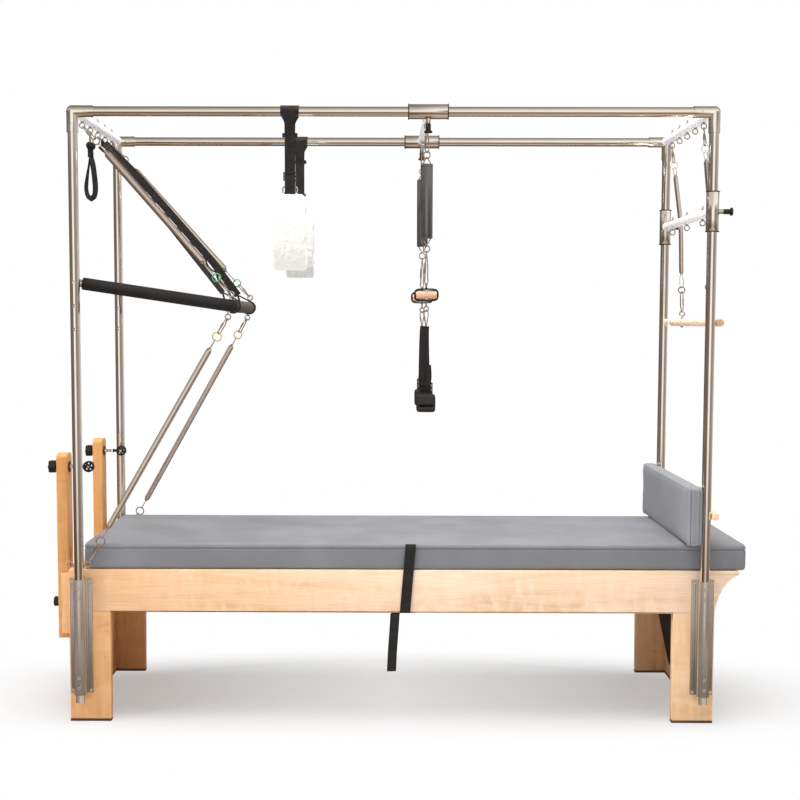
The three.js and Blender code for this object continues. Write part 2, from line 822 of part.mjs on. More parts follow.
function addPushBar() {
  barGroup.position.set(-uprightX, 0, barPivotHeight);
  barGroup.rotation.y = barDroop;
  table.add(barGroup);
  const points = [];
  const corner = barReach - barBend;
  const turn = barHalfWidth - barBend;
  const arc = (sy, from) => {
    const found = [];
    for (let i = 0; i <= bendStepCount; i += 1) {
      const angle = (Math.PI / 2) * (i / bendStepCount);
      found.push(at(corner + barBend * Math.sin(angle), sy * (turn + barBend * Math.cos(angle)), 0));
    }
    return from ? found : found.reverse();
  };
  points.push(at(-barStub, -barHalfWidth, 0));
  points.push(...arc(-1, true), ...arc(1, false));
  points.push(at(-barStub, barHalfWidth, 0));
  const pieces = [sweep(points, barSteelRadius, tubeSideCount - 4, false)];
  const uprightFace = railY - tubeRadius;
  for (const [, sy] of sides) {
    const y = sy * barHalfWidth;
    pieces.push(rod(at(0, y, 0), at(0, sy * (uprightFace - fitGap), 0), barHubRadius));
    pieces.push(rod(at(0, y, 0), at(0, sy * railY, 0), barPinRadius, smallSideCount));
    for (const s of [-1, 1]) {
      const x = barReach - barEyeInset;
      pieces.push(wireLoop(at(x, y, s * barEyeOffset), zAxis, xAxis, eyeRadius, eyeRadius, eyeWire));
      const foot = barHalfWidth - eyeWire;
      pieces.push(rod(at(x, sy * foot, 0), at(x, y, s * (barEyeOffset - eyeRadius)), eyeWire, stemSideCount));
    }
  }
  add(barGroup, 'push_bar', join(...pieces), steel);
  const padEnd = barReach - barBend - padSetback;
  for (const [side, sy] of sides) {
    const y = sy * barHalfWidth;
    const pad = pipe(at(barPadStart + barHubRadius, y, 0), at(padEnd, y, 0),
      barPadRadius, bore(barSteelRadius, tubeSideCount));
    add(barGroup, `push_bar_pad_${side}`, pad, blackFoam);
  }
  const gripHalf = barHalfWidth - barBend - fitGap;
  const grip = pipe(at(barReach, -gripHalf, 0), at(barReach, gripHalf, 0),
    gripRadius, bore(barSteelRadius, tubeSideCount));
  add(barGroup, 'push_bar_grip', grip, greyFoam);
}

function onBar(x, y, z) {
  barGroup.updateMatrix();
  return at(x, y, z).applyMatrix4(barGroup.matrix);
}

function addPushSprings() {
  for (const [side, sy] of sides) {
    const x = barReach - barEyeInset;
    const upperEye = at(-crossbarX, sy * eyePitch * 2, crossEyeHeight);
    const upperBar = onBar(x, sy * barHalfWidth, barEyeOffset);
    const upper = hookedSpring(upperEye, upperBar, heavySpringStart, heavySpringLength,
      heavyCoilRadius, heavyWire);
    add(table, `push_spring_upper_${side}`, upper, springSteel);
    const lowerBar = onBar(x, sy * barHalfWidth, -barEyeOffset);
    const ankle = at(-uprightX + tubeRadius + eyeStem + eyeRadius, sy * railY, ankleEyeHeight);
    const lower = hookedSpring(lowerBar, ankle, lightSpringStart, lightSpringLength,
      lightCoilRadius, lightWire);
    add(table, `push_spring_lower_${side}`, lower, springSteel);
  }
}

// Safety straps: from the middle eye of the left crossbar, each ends in a band round the grip
function addDaisyStraps() {
  const eye = at(-crossbarX, 0, crossEyeHeight);
  const pull = onBar(barReach, 0, 0).sub(eye).normalize();
  const start = inEye(eye, pull);
  const knot = start.clone().addScaledVector(pull, hookHalfWidth * 2 + daisyKnot / 2);
  const hook = wireLoop(start.clone().addScaledVector(pull, hookHalfWidth), pull, yAxis,
    hookHalfWidth, hookHalfWidth, linkWire);
  const ball = new THREE.SphereGeometry(daisyKnot, smallSideCount, stemSideCount);
  const pieces = [hook, ball.translate(knot.x, knot.y, knot.z)];
  const axis = onBar(barReach, daisyWidth, 0).sub(onBar(barReach, 0, 0)).normalize();
  for (const [, sy] of sides) {
    const centre = onBar(barReach, sy * daisyGripY, 0);
    const half = axis.clone().multiplyScalar(daisyWidth / 2);
    const bandInner = bore(gripRadius, tubeSideCount);
    pieces.push(pipe(centre.clone().sub(half), centre.clone().add(half),
      bandInner + daisyThickness, bandInner));
    const toKnot = knot.clone().sub(centre);
    toKnot.addScaledVector(axis, -toKnot.dot(axis)).normalize();
    const foot = centre.clone().addScaledVector(toKnot, bandInner + daisyThickness + daisyThickness / 2);
    pieces.push(webStrip(knot, foot, axis, daisyWidth, daisyThickness));
  }
  add(table, 'safety_straps', join(...pieces), webbing);
}

// A flat strip of webbing between two points, wide along a given direction
function webStrip(a, b, wide, width, thickness) {
  const u = b.clone().sub(a);
  const length = u.length();
  u.normalize();
  const v = wide.clone().addScaledVector(u, -wide.dot(u)).normalize();
  const w = u.clone().cross(v);
  const geometry = new THREE.BoxGeometry(length, width, thickness).translate(length / 2, 0, 0);
  return geometry.applyMatrix4(new THREE.Matrix4().makeBasis(u, v, w)).translate(a.x, a.y, a.z);
}

// A sleeve with rims that slides on a tube, along a unit direction
function sleeve(centre, direction) {
  const inside = sleeveHalfLength - sleeveRim;
  const profile = [
    [boreRadius, -sleeveHalfLength], [rimRadius, -sleeveHalfLength], [rimRadius, -inside],
    [sleeveRadius, -inside], [sleeveRadius, inside], [rimRadius, inside],
    [rimRadius, sleeveHalfLength], [boreRadius, sleeveHalfLength], [boreRadius, -sleeveHalfLength],
  ];
  return revolve(profile, centre, direction, tubeSideCount);
}

// The black knob and pin of a plunger, pointing away from the tube
function plunger(centre, out) {
  const neck = pinRadius + fitGap + linkWire;
  const neckLength = knobLength * knobNeckShare;
  const profile = [
    [0, plungerTip], [pinRadius, plungerTip], [pinRadius, bossEnd + fitGap], [neck, bossEnd + fitGap],
    [neck, bossEnd + fitGap + neckLength], [knobRadius, bossEnd + fitGap + neckLength],
    [knobRadius, plungerEnd - linkWire], [knobRadius - linkWire, plungerEnd], [0, plungerEnd],
  ];
  return revolve(profile, centre, out, plungerSideCount);
}

function sliderCarriage(centres, direction, out, eyes) {
  const bars = rod(
    centres[0].clone().addScaledVector(yAxis, sleeveRadius - tubeWall),
    centres[1].clone().addScaledVector(yAxis, -sleeveRadius + tubeWall), crossbarRadius);
  const bosses = centres.map((c) => rod(c.clone().addScaledVector(out, sleeveRadius - tubeWall),
    c.clone().addScaledVector(out, bossEnd), bossRadius, plungerSideCount));
  const bores = centres.map((c) => rod(c, c.clone().addScaledVector(out, bossEnd + overrun),
    bore(pinRadius, plungerSideCount), plungerSideCount));
  return cut(join(bars, ...centres.map((c) => sleeve(c, direction)), ...bosses, ...eyes), ...bores);
}

function addSliders() {
  const endCentres = sides.map(([, sy]) => at(uprightX, sy * railY, endSliderHeight));
  const endEyes = [-1, 0, 1].flatMap((s) => eyebolt(uprightX, s * sliderEyeY, endSliderHeight,
    crossbarRadius));
  add(table, 'end_slider', sliderCarriage(endCentres, zAxis, xAxis, endEyes), aluminium);
  const topCentres = sides.map(([, sy]) => at(topSliderX, sy * railY, railHeight));
  const topEyes = [-1, 1].flatMap((s) => eyebolt(topSliderX, s * stringY, railHeight, crossbarRadius));
  const down = zAxis.clone().negate();
  add(table, 'top_slider', sliderCarriage(topCentres, xAxis, down, topEyes), aluminium);
  sides.forEach(([side], i) => {
    add(table, `end_plunger_${side}`, plunger(endCentres[i], xAxis), blackPlastic);
    add(table, `top_plunger_${side}`, plunger(topCentres[i], down), blackPlastic);
  });
}

// Roll-down bar: a wooden bar on two springs that bear on the outside of the end slider
function addRollBar() {
  const barX = uprightX + rollBarOut;
  const eyeZ = rollBarHeight + rollBarRadius + rollEyeDrop - eyeRadius;
  const pieces = [];
  pieces.push(rod(at(barX, -rollBarHalfLength, rollBarHeight), at(barX, rollBarHalfLength, rollBarHeight),
    rollBarRadius));
  for (const [side, sy] of sides) {
    const eye = at(barX, sy * rollEyeY, eyeZ);
    pieces.push(wireLoop(eye, zAxis, xAxis, eyeRadius, eyeRadius, eyeWire));
    pieces.push(rod(at(barX, eye.y, rollBarHeight), at(barX, eye.y, eyeZ - eyeRadius), eyeWire,
      stemSideCount));
    const topEye = at(crossbarX, sy * eyePitch * 2, crossEyeHeight);
    const touch = at(uprightX + rollSpringOut, sy * (eyePitch * 2 + rollEyeY) / 2, endSliderHeight);
    const a = inEye(topEye, touch.clone().sub(topEye));
    const b = inEye(eye, touch.clone().sub(eye));
    const line = new THREE.CatmullRomCurve3([a, touch, b], false, 'centripetal');
    const total = line.getLength();
    const coilEnd = armSpringStart + armSpringLength;
    const coil = subCurve(line, armSpringStart / total, coilEnd / total);
    const uA = touch.clone().sub(a).normalize();
    const uB = touch.clone().sub(b).normalize();
    const ringA = hookHalfLength * 2 + ringRadius - linkWire;
    const spring = join(
      wireLoop(a.clone().addScaledVector(uA, hookHalfLength), uA, yAxis, hookHalfLength, hookHalfWidth,
        linkWire),
      wireLoop(a.clone().addScaledVector(uA, ringA), uA, xAxis, ringRadius, ringRadius, ringWire),
      windSpring(coil, lightCoilRadius, lightWire,
        a.clone().addScaledVector(uA, ringA + ringRadius - ringWire / 2),
        b.clone().addScaledVector(uB, hookHalfLength * 2 - linkWire / 2)),
      wireLoop(b.clone().addScaledVector(uB, hookHalfLength), uB, yAxis, hookHalfLength, hookHalfWidth,
        linkWire),
    );
    add(table, `arm_spring_${side}`, spring, springSteel);
  }
  add(table, 'roll_down_bar', join(...pieces), maple);
}

// The stretch of a curve between two shares of its length
function subCurve(line, from, to) {
  const points = [];
  for (let i = 0; i <= coilTurnCount; i += 1) {
    points.push(line.getPointAt(from + (to - from) * (i / coilTurnCount)));
  }
  return new THREE.CatmullRomCurve3(points);
}

// Fuzzy straps: a collar on the rail, a strap with its buckle and ring, and a fleece loop below
function addFuzzyStraps() {
  for (const [side, sy] of sides) {
    const x = -fuzzyX - (sy > 0 ? fuzzyRearExtraX : 0);
    const y = sy * railY;
    const collarOuter = boreRadius + webbingThickness;
    const collarHalf = fuzzyCollarWidth / 2;
    const strapBottom = railHeight - fuzzyStrapDrop;
    const buckleBottom = strapBottom - fuzzyBuckleHeight;
    const ringZ = buckleBottom - fuzzyRingHalfHeight - webbingThickness * 4;
    const half = fuzzyStrapWidth / 2;
    const strapOutline = polygon([
      [x - collarHalf, railHeight - collarOuter + webbingThickness / 2],
      [x + collarHalf, railHeight - collarOuter + webbingThickness / 2],
      [x + half, railHeight - collarOuter - fuzzyCollarWidth],
      [x + half, strapBottom],
      [x - half, strapBottom],
      [x - half, railHeight - collarOuter - fuzzyCollarWidth],
    ]);
    const buckleHalf = fuzzyBuckleWidth / 2;
    const strap = join(
      pipe(at(x - collarHalf, y, railHeight), at(x + collarHalf, y, railHeight), collarOuter, boreRadius),
      plateXZ(strapOutline, y - webbingThickness, y + webbingThickness),
      block(x - buckleHalf, x + buckleHalf, y - fuzzyBuckleThickness / 2, y + fuzzyBuckleThickness / 2,
        buckleBottom, strapBottom + webbingThickness),
      block(x - half, x + half, y - webbingThickness, y + webbingThickness, ringZ + fuzzyRingHalfHeight,
        buckleBottom + webbingThickness),
      ringAsD(at(x, y, ringZ)),
    );
    add(table, `fuzzy_strap_${side}`, strap, webbing);
    const loopTop = ringZ - fuzzyRingHalfHeight - fuzzyRingWire - fitGap;
    add(table, `fleece_loop_${side}`, fleeceLoop(x, y, loopTop), fleece);
  }
}

function ringAsD(centre) {
  return wireLoop(centre, xAxis, zAxis, fuzzyRingHalfWidth, fuzzyRingHalfHeight, fuzzyRingWire);
}

// A wide band of fleece that hangs down, turns round at the bottom and comes up again behind itself
function fleeceLoop(x, y, top) {
  const teardrop = (inset) => {
    const shape = new THREE.Shape();
    const half = fleeceHalfDepth - inset;
    const neck = Math.max(fleeceThickness - inset / 2, fleeceThickness / 2);
    const upper = top - inset;
    const lower = top - fleeceHeight + inset;
    const middle = lower + half;
    shape.moveTo(y - neck, upper);
    shape.quadraticCurveTo(y - half, upper - (upper - middle) / 3, y - half, middle);
    shape.absarc(y, middle, half, Math.PI, 2 * Math.PI, false);
    shape.quadraticCurveTo(y + half, upper - (upper - middle) / 3, y + neck, upper);
    shape.lineTo(y - neck, upper);
    return shape;
  };
  const outline = teardrop(0);
  outline.holes.push(teardrop(fleeceThickness));
  return plateYZ(outline, x - fleeceWidth / 2, x + fleeceWidth / 2, smallSideCount);
}

// Hanging strings: hook, ring and padded handle above, wooden grip and foot strap below
function addStrings() {
  for (const [side, sy] of sides) {
    const x = topSliderX;
    const y = sy * stringY;
    const eye = at(x, y, crossEyeHeight);
    const hang = inEye(eye, zAxis.clone().negate());
    const below = (distance) => at(x, y, hang.z - distance);
    const down = zAxis.clone().negate();
    const padTop = stringRingDrop + padGap;
    const padBottom = padTop + padLength;
    const lowRing = padBottom + padGap + ringRadius;
    const upper = join(
      wireLoop(below(hookHalfLength), down, yAxis, hookHalfLength, hookHalfWidth, linkWire),
      wireLoop(below(hookHalfLength * 2 + ringRadius - linkWire), down, xAxis, ringRadius, ringRadius,
        ringWire),
      block(x - padGap, x + padGap, y - webbingThickness, y + webbingThickness,
        hang.z - padTop - padGap, hang.z - hookHalfLength * 2 - ringRadius * 2 + ringWire * 2),
      plateXZ(roundedBox(x - padWidth / 2, x + padWidth / 2, hang.z - padBottom, hang.z - padTop,
        padThickness), y - padThickness / 2, y + padThickness / 2, 3),
      block(x - padGap / 2, x + padGap / 2, y - webbingThickness, y + webbingThickness,
        hang.z - lowRing + ringRadius - ringWire, hang.z - padBottom + padGap),
      wireLoop(below(lowRing), down, xAxis, ringRadius, ringRadius, ringWire),
      wireLoop(below(lowRing + ringRadius + hookHalfLength - linkWire), down, yAxis, hookHalfLength,
        hookHalfWidth, linkWire),
    );
    add(table, `padded_handle_${side}`, upper, handlePad);
    const hookEnd = lowRing + ringRadius + hookHalfLength * 2;
    add(table, `foot_strap_${side}`, footStrap(x, y, hang.z, hookEnd + fitGap), webbing);
  }
}

function footStrap(x, y, top, start) {
  const gripZ = top - gripDrop;
  const strapHalf = gripLength / 2;
  const strapTop = top - start;
  const eyeZ = gripZ - gripWoodRadius - eyeDrop;
  const webTop = eyeZ - eyeRadius - hookHalfLength * 2;
  const webBottom = webTop - footWebLength;
  const buckleBottom = webBottom - footBuckleHeight;
  const cuffBottom = buckleBottom - cuffHeight;
  const yoke = polygon([
    [x - webbingThickness * 2, strapTop],
    [x + webbingThickness * 2, strapTop],
    [x + strapHalf, gripZ + gripWoodRadius / 2],
    [x + strapHalf, gripZ - gripWoodRadius / 2],
    [x + webbingThickness * 2, eyeZ],
    [x - webbingThickness * 2, eyeZ],
    [x - strapHalf, gripZ - gripWoodRadius / 2],
    [x - strapHalf, gripZ + gripWoodRadius / 2],
  ]);
  return join(
    plateXZ(yoke, y - webbingThickness, y + webbingThickness),
    rod(at(x - strapHalf, y, gripZ), at(x + strapHalf, y, gripZ), gripWoodRadius),
    rod(at(x, y, eyeZ + webbingThickness), at(x, y, webTop - webbingThickness), linkWire, smallSideCount),
    block(x - footWebWidth / 2, x + footWebWidth / 2, y - webbingThickness, y + webbingThickness,
      webBottom, webTop),
    block(x - footBuckleWidth / 2, x + footBuckleWidth / 2,
      y - webbingThickness * 2, y + webbingThickness * 2, buckleBottom, webBottom + webbingThickness),
    cuff(x, y, cuffBottom, buckleBottom + webbingThickness),
  );
}

// The cuff of the foot strap: a flattened band open along its depth
function cuff(x, y, bottom, top) {
  const half = cuffWidth / 2;
  const wall = webbingThickness * 2;
  const round = (top - bottom) / 2 - fitGap;
  const outline = roundedBox(x - half, x + half, bottom, top, round);
  outline.holes.push(roundedBox(x - half + wall, x + half - wall, bottom + wall, top - wall, round - wall));
  return plateXZ(outline, y - cuffDepth / 2, y + cuffDepth / 2, 3);
}

// Small hand loop on the second eye of the left crossbar
function addHandLoop() {
  const x = -crossbarX;
  const y = -eyePitch;
  const hang = inEye(at(x, y, crossEyeHeight), zAxis.clone().negate());
  const down = zAxis.clone().negate();
  const knotZ = hang.z - hookHalfLength - handKnotRadius;
  const bottom = hang.z - handLoopDrop;
  const top = bottom + handLoopHeight;
  const outline = roundedBox(x - handLoopHalfWidth, x + handLoopHalfWidth, bottom, top,
    handLoopHalfWidth - fitGap);
  const inner = handLoopHalfWidth - webbingThickness;
  outline.holes.push(roundedBox(x - inner, x + inner, bottom + webbingThickness, top - webbingThickness,
    inner - fitGap));
  const loop = join(
    wireLoop(at(x, y, hang.z - hookHalfLength / 2), down, yAxis, hookHalfLength / 2, hookHalfWidth, linkWire),
    new THREE.SphereGeometry(handKnotRadius, smallSideCount, stemSideCount).translate(x, y, knotZ),
    block(x - webbingThickness, x + webbingThickness, y - handLoopWidth / 2, y + handLoopWidth / 2,
      top - webbingThickness, knotZ),
    plateXZ(outline, y - handLoopWidth / 2, y + handLoopWidth / 2, 4),
  );
  add(table, 'hand_loop', loop, webbing);
}

// A round knob with lobes, its axis along +X and its inner face at the origin
function starKnob(radius, length, lobes) {
  const shape = new THREE.Shape();
  const steps = lobes * 2;
  for (let i = 0; i < steps; i += 1) {
    const angle = (2 * Math.PI * i) / steps;
    const r = radius * (1 - starDepthShare * (0.5 - 0.5 * Math.cos(lobes * angle)));
    if (i === 0) shape.moveTo(r, 0);
    else shape.lineTo(r * Math.cos(angle), r * Math.sin(angle));
  }
  return plateYZ(shape, -length, 0);
}

// Riser posts: wood with a round top, a bolt hole for the pulley and a slot for the lock
function addRisers() {
  for (const [side, sy] of sides) {
    const y = sy * postY;
    const outline = new THREE.Shape();
    outline.moveTo(y - postHalfWidth, postBottom);
    outline.lineTo(y + postHalfWidth, postBottom);
    outline.lineTo(y + postHalfWidth, postTop - postRound);
    outline.absarc(y + postHalfWidth - postRound, postTop - postRound, postRound, 0, Math.PI / 2, false);
    outline.lineTo(y - postHalfWidth + postRound, postTop);
    outline.absarc(y - postHalfWidth + postRound, postTop - postRound, postRound, Math.PI / 2, Math.PI,
      false);
    outline.lineTo(y - postHalfWidth, postBottom);
    outline.holes.push(roundedBox(y - slotHalfWidth, y + slotHalfWidth, slotBottom, slotTop,
      slotHalfWidth - fitGap));
    const boltHole = new THREE.Path();
    boltHole.absarc(y, pulleyHeight, bore(boltRadius, smallSideCount), 0, 2 * Math.PI, true);
    outline.holes.push(boltHole);
    add(table, `riser_post_${side}`, plateYZ(outline, -postOuter, -postInner, 3), maple);

    add(table, `pulley_block_${side}`, pulleyBlock(y), steel);
    add(table, `pulley_wheel_${side}`, pulleyWheel(at(axleX, y, pulleyHeight)), blackPlastic);
    add(table, `lock_knob_${side}`, lockKnob(y), blackPlastic);
  }
}

// Pulley block: star knob, bolt through the post, washer, and two cheeks with the wheel's axle
function pulleyBlock(y) {
  const z = pulleyHeight;
  const knob = starKnob(starRadius, starLength, starLobeCount).translate(-starInner - starStem, y, z);
  const cheekY = wheelThickness / 2 + cheekGap;
  const neckX = axleX - wheelRadius - washerThickness;
  const pieces = [
    knob,
    rod(at(-starInner - starStem - boltRadius, y, z), at(-starInner, y, z), washerRadius / 2 + linkWire),
    rod(at(-starInner - starStem, y, z), at(neckX - boltRadius, y, z), boltRadius, smallSideCount),
    rod(at(-postInner + fitGap, y, z), at(-postInner + fitGap + washerThickness, y, z), washerRadius),
    rod(at(axleX, y - cheekY - cheekThickness, z), at(axleX, y + cheekY + cheekThickness, z),
      axleRadius, smallSideCount),
    block(neckX - boltRadius * 2, neckX, y - cheekY - cheekThickness, y + cheekY + cheekThickness,
      z - boltRadius, z + boltRadius),
  ];
  for (const s of [-1, 1]) {
    const shape = new THREE.Shape();
    shape.moveTo(neckX - boltRadius * 2, z - boltRadius);
    shape.lineTo(axleX, z - cheekRadius);
    shape.absarc(axleX, z, cheekRadius, -Math.PI / 2, Math.PI / 2, false);
    shape.lineTo(neckX - boltRadius * 2, z + boltRadius);
    const inner = y + s * cheekY;
    const near = Math.min(inner, inner + s * cheekThickness);
    pieces.push(plateXZ(shape, near, near + cheekThickness, 4));
  }
  return join(...pieces);
}

function pulleyWheel(centre) {
  const half = wheelThickness / 2;
  const profile = [
    [wheelBore, -half], [wheelRadius, -half], [wheelRadius, -half + cheekGap],
    [wheelRadius - wheelGroove, 0], [wheelRadius, half - cheekGap], [wheelRadius, half], [wheelBore, half],
    [wheelBore, -half],
  ];
  const points = profile.map(([r, h]) => new THREE.Vector2(r, h));
  const wheel = new THREE.LatheGeometry(points, tubeSideCount).translate(centre.x, centre.y, centre.z);
  const holes = [];
  for (let i = 0; i < wheelHoleCount; i += 1) {
    const angle = (2 * Math.PI * i) / wheelHoleCount;
    const x = centre.x + wheelHoleCircle * Math.cos(angle);
    const z = centre.z + wheelHoleCircle * Math.sin(angle);
    holes.push(rod(at(x, centre.y - half - overrun, z), at(x, centre.y + half + overrun, z),
      wheelHoleRadius, smallSideCount));
  }
  return cut(wheel, ...holes);
}

// Lock knob: clamps the post, its bolt goes through the slot to the guide
function lockKnob(y) {
  const face = -postOuter - fitGap;
  const end = -(legOuter + guideBack) - fitGap;
  const knob = starKnob(lockRadius, lockLength, starLobeCount).translate(face, y, lockHeight);
  return join(knob, rod(at(face - boltRadius, y, lockHeight), at(end, y, lockHeight),
    boltRadius, smallSideCount));
}

// End cushion: a padded board across the right uprights, clamped by a batten outside them
function addEndCushion() {
  const bottom = mattressTop + webbingThickness;
  const height = cushionTop - bottom;
  const form = cushionForm(height, cushionHalfWidth * 2, cushionThickness, cushionRound, cushionCrown,
    cushionStepCount, cushionRowCount);
  form.rotateY(-Math.PI / 2);
  form.translate(cushionFace + cushionThickness / 2, 0, (bottom + cushionTop) / 2);
  add(table, 'end_cushion', form, vinyl);
  const boardNear = cushionFace + cushionThickness + fitGap;
  const boardFar = uprightX - tubeRadius - fitGap;
  const battenNear = uprightX + tubeRadius + fitGap;
  const board = join(
    block(boardNear, boardFar, -cushionHalfWidth + cushionBoardInset, cushionHalfWidth - cushionBoardInset,
      bottom + cushionBoardInset, cushionTop - cushionBoardInset),
    block(battenNear, battenNear + battenThickness, -battenHalfLength, battenHalfLength,
      battenZ - battenHeight / 2, battenZ + battenHeight / 2),
    ...sides.map(([, sy]) => rod(at((boardNear + boardFar) / 2, sy * clampY, battenZ),
      at(battenNear + battenThickness / 2, sy * clampY, battenZ), clampRadius, smallSideCount)),
  );
  add(table, 'end_cushion_board', board, maple);
}

// Folded black strap bundle that hangs under the deck
function addBundle() {
  const outline = polygon([
    [bundleNearY, deckBottom - fitGap],
    [bundleFarY, deckBottom - fitGap],
    [bundleFarY, bundleFarZ],
    [bundleFoldY, bundleFold],
    [bundleTipY, bundleTip],
  ]);
  add(table, 'strap_bundle', plateYZ(outline, bundleX - bundleThickness, bundleX), webbing);
}

addBench();
addBrackets();
addUprights();
addTopFrame();
addMattress();
addPushBar();
addPushSprings();
addDaisyStraps();
addSliders();
addRollBar();
addFuzzyStraps();
addStrings();
addHandLoop();
addRisers();
addEndCushion();
addBundle();

// The origin is under the middle of the whole table, whose ends are the star knobs and the mattress
table.position.x = (starOuter - mattressRight) / 2;
table.updateMatrixWorld(true);

console.log(`least gap of the springs to themselves: ${leastCoilGap.toFixed(2)} mm`);

export default table;
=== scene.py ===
# Pilates trapeze table: the looks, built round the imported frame.
import math

import bmesh
import bpy
from mathutils import Matrix, Vector


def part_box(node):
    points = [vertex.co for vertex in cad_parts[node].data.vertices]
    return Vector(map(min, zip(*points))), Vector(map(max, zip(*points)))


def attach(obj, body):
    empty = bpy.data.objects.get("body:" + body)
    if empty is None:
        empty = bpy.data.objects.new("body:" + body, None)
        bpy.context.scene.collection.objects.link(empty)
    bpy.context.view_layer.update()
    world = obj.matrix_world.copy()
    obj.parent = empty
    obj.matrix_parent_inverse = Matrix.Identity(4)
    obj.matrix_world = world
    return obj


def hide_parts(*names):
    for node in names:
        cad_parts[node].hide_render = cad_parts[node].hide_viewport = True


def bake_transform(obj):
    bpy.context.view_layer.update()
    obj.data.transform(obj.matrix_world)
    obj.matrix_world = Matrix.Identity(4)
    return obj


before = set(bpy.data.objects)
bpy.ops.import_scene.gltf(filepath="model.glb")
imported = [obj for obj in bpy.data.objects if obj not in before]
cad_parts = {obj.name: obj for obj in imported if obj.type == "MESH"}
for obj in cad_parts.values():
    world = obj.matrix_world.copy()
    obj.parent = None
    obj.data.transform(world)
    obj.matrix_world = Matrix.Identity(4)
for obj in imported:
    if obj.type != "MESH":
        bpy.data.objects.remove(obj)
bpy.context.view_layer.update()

# The camera stands where the photograph was taken from: in front of the left half of the table, at
# the height of a standing person's chest. Its place was fitted to the straight edges of the frame.
camera_place = Vector((-0.04695, -4.4903, 1.3520))
camera_yaw, camera_pitch, camera_roll = 0.0044, -0.0719, -0.0022
camera_lens, camera_shift_x, camera_shift_y = 56.51, 0.0284, 0.0157
upright_turn = Matrix.Rotation(math.radians(90), 3, "X")
bpy.ops.object.camera_add(location=camera_place)
camera = bpy.context.object
camera.rotation_euler = (
    Matrix.Rotation(camera_yaw, 3, "Z")
    @ Matrix.Rotation(camera_pitch, 3, "X")
    @ Matrix.Rotation(camera_roll, 3, "Y")
    @ upright_turn
).to_euler()
camera.data.lens = camera_lens
camera.data.shift_x = camera_shift_x
camera.data.shift_y = camera_shift_y
bpy.context.scene.camera = camera
bpy.context.scene.view_settings.view_transform = "Standard"


# The studio: a white room with one big soft box overhead and a smaller one at the left. The polished
# tubes see warm grey walls at the sides, a pale ceiling and a brown floor, as in the picture.
def paint(code):
    """A colour as it looks on the photograph, in hex, turned into linear light."""
    parts = [int(code[i : i + 2], 16) / 255 for i in (0, 2, 4)]
    linear = [c / 12.92 if c <= 0.04045 else ((c + 0.055) / 1.055) ** 2.4 for c in parts]
    return (*linear, 1)


def node(tree, kind, inputs=None, **settings):
    """One shader node. An input is a number, a colour or another node's output."""
    made = tree.nodes.new("ShaderNode" + kind)
    for key, value in settings.items():
        setattr(made, key, value)
    for key, value in (inputs or {}).items():
        if isinstance(value, bpy.types.NodeSocket):
            tree.links.new(value, made.inputs[key])
        else:
            made.inputs[key].default_value = value
    return made


def maths(tree, operation, *values):
    """The result of a sum, with its numbers or sockets in their order."""
    return node(tree, "Math", dict(enumerate(values)), operation=operation).outputs[0]


def ramp(tree, factor, *stops):
    """A row of colours at their places from 0 to 1."""
    made = node(tree, "ValToRGB", {"Fac": factor})
    row = made.color_ramp.elements
    while len(row) < len(stops):
        row.new(0.5)
    for element, (place, code) in zip(row, stops):
        element.position = place
        element.color = paint(code)
    return made.outputs["Color"]


def span(tree, value, low, high):
    """A number from 0 at low to 1 at high, held at both ends."""
    inputs = {"Value": value, "From Min": low, "From Max": high}
    return node(tree, "MapRange", inputs, clamp=True).outputs["Result"]


def blend_colours(tree, factor, first, second, kind="MIX"):
    made = node(tree, "Mix", {0: factor, 6: first, 7: second}, data_type="RGBA", blend_type=kind)
    return made.outputs[2]


def light(tree, kind, colour, strength=None):
    """The shader of a colour that glows, lights the room or takes a shadow."""
    inputs = {"Color": colour} if strength is None else {"Color": colour, "Strength": strength}
    return node(tree, kind, inputs).outputs[0]


room_light = 0.45
white = (1, 1, 1, 1)
world = bpy.data.worlds.new("studio")
bpy.context.scene.world = world
world.use_nodes = True
sky = world.node_tree
sky.nodes.clear()
way = node(sky, "SeparateXYZ", {0: node(sky, "TexCoord").outputs["Generated"]}).outputs
ahead = maths(sky, "MULTIPLY", way["Y"], -1)
bearing = maths(sky, "ARCTAN2", way["X"], ahead)
climb = maths(sky, "ARCSINE", way["Z"])
walls = ramp(
    sky,
    span(sky, bearing, -math.pi, math.pi),
    (0.00, "a29a92"), (0.06, "665a4e"), (0.16, "6a5d50"), (0.25, "706355"), (0.33, "776858"),
    (0.41, "7d7064"), (0.45, "fffdf8"), (0.53, "fffdf8"), (0.57, "93877c"), (0.63, "93877c"),
    (0.70, "a3978c"), (0.79, "bfb6ad"), (0.92, "e2dedb"), (1.00, "a29a92"),
)
upward = span(sky, climb, -math.pi / 2, math.pi / 2)
before = ramp(
    sky, upward,
    (0.00, "8c7057"), (0.15, "d6bb9f"), (0.22, "a58b73"), (0.28, "74604d"), (0.36, "8d7d6e"),
    (0.42, "f0ebe4"), (0.47, "ffffff"), (0.58, "fbfaf6"), (0.71, "e3dfd5"), (0.86, "bbb0a3"),
    (1.00, "9c9287"),
)
behind = ramp(
    sky, upward,
    (0.00, "8c7057"), (0.15, "756558"), (0.36, "52423a"), (0.46, "85776b"), (0.54, "aaa096"),
    (0.78, "92877c"), (1.00, "9c9287"),
)
seen = blend_colours(sky, span(sky, ahead, -0.08, 0.08), behind, before)
dim_side = blend_colours(sky, 1.0, seen, paint("d6cfc7"), "MULTIPLY")
seen = blend_colours(sky, span(sky, way["X"], -0.22, 0.18), dim_side, seen)
dim_walls = blend_colours(sky, 1.0, walls, paint("c2b2a2"), "MULTIPLY")
walls = blend_colours(sky, span(sky, climb, -0.20, -0.08), dim_walls, walls)
level = maths(sky, "MINIMUM", span(sky, climb, -0.31, -0.25), span(sky, climb, 0.24, 0.12))
seen = blend_colours(sky, level, seen, walls)
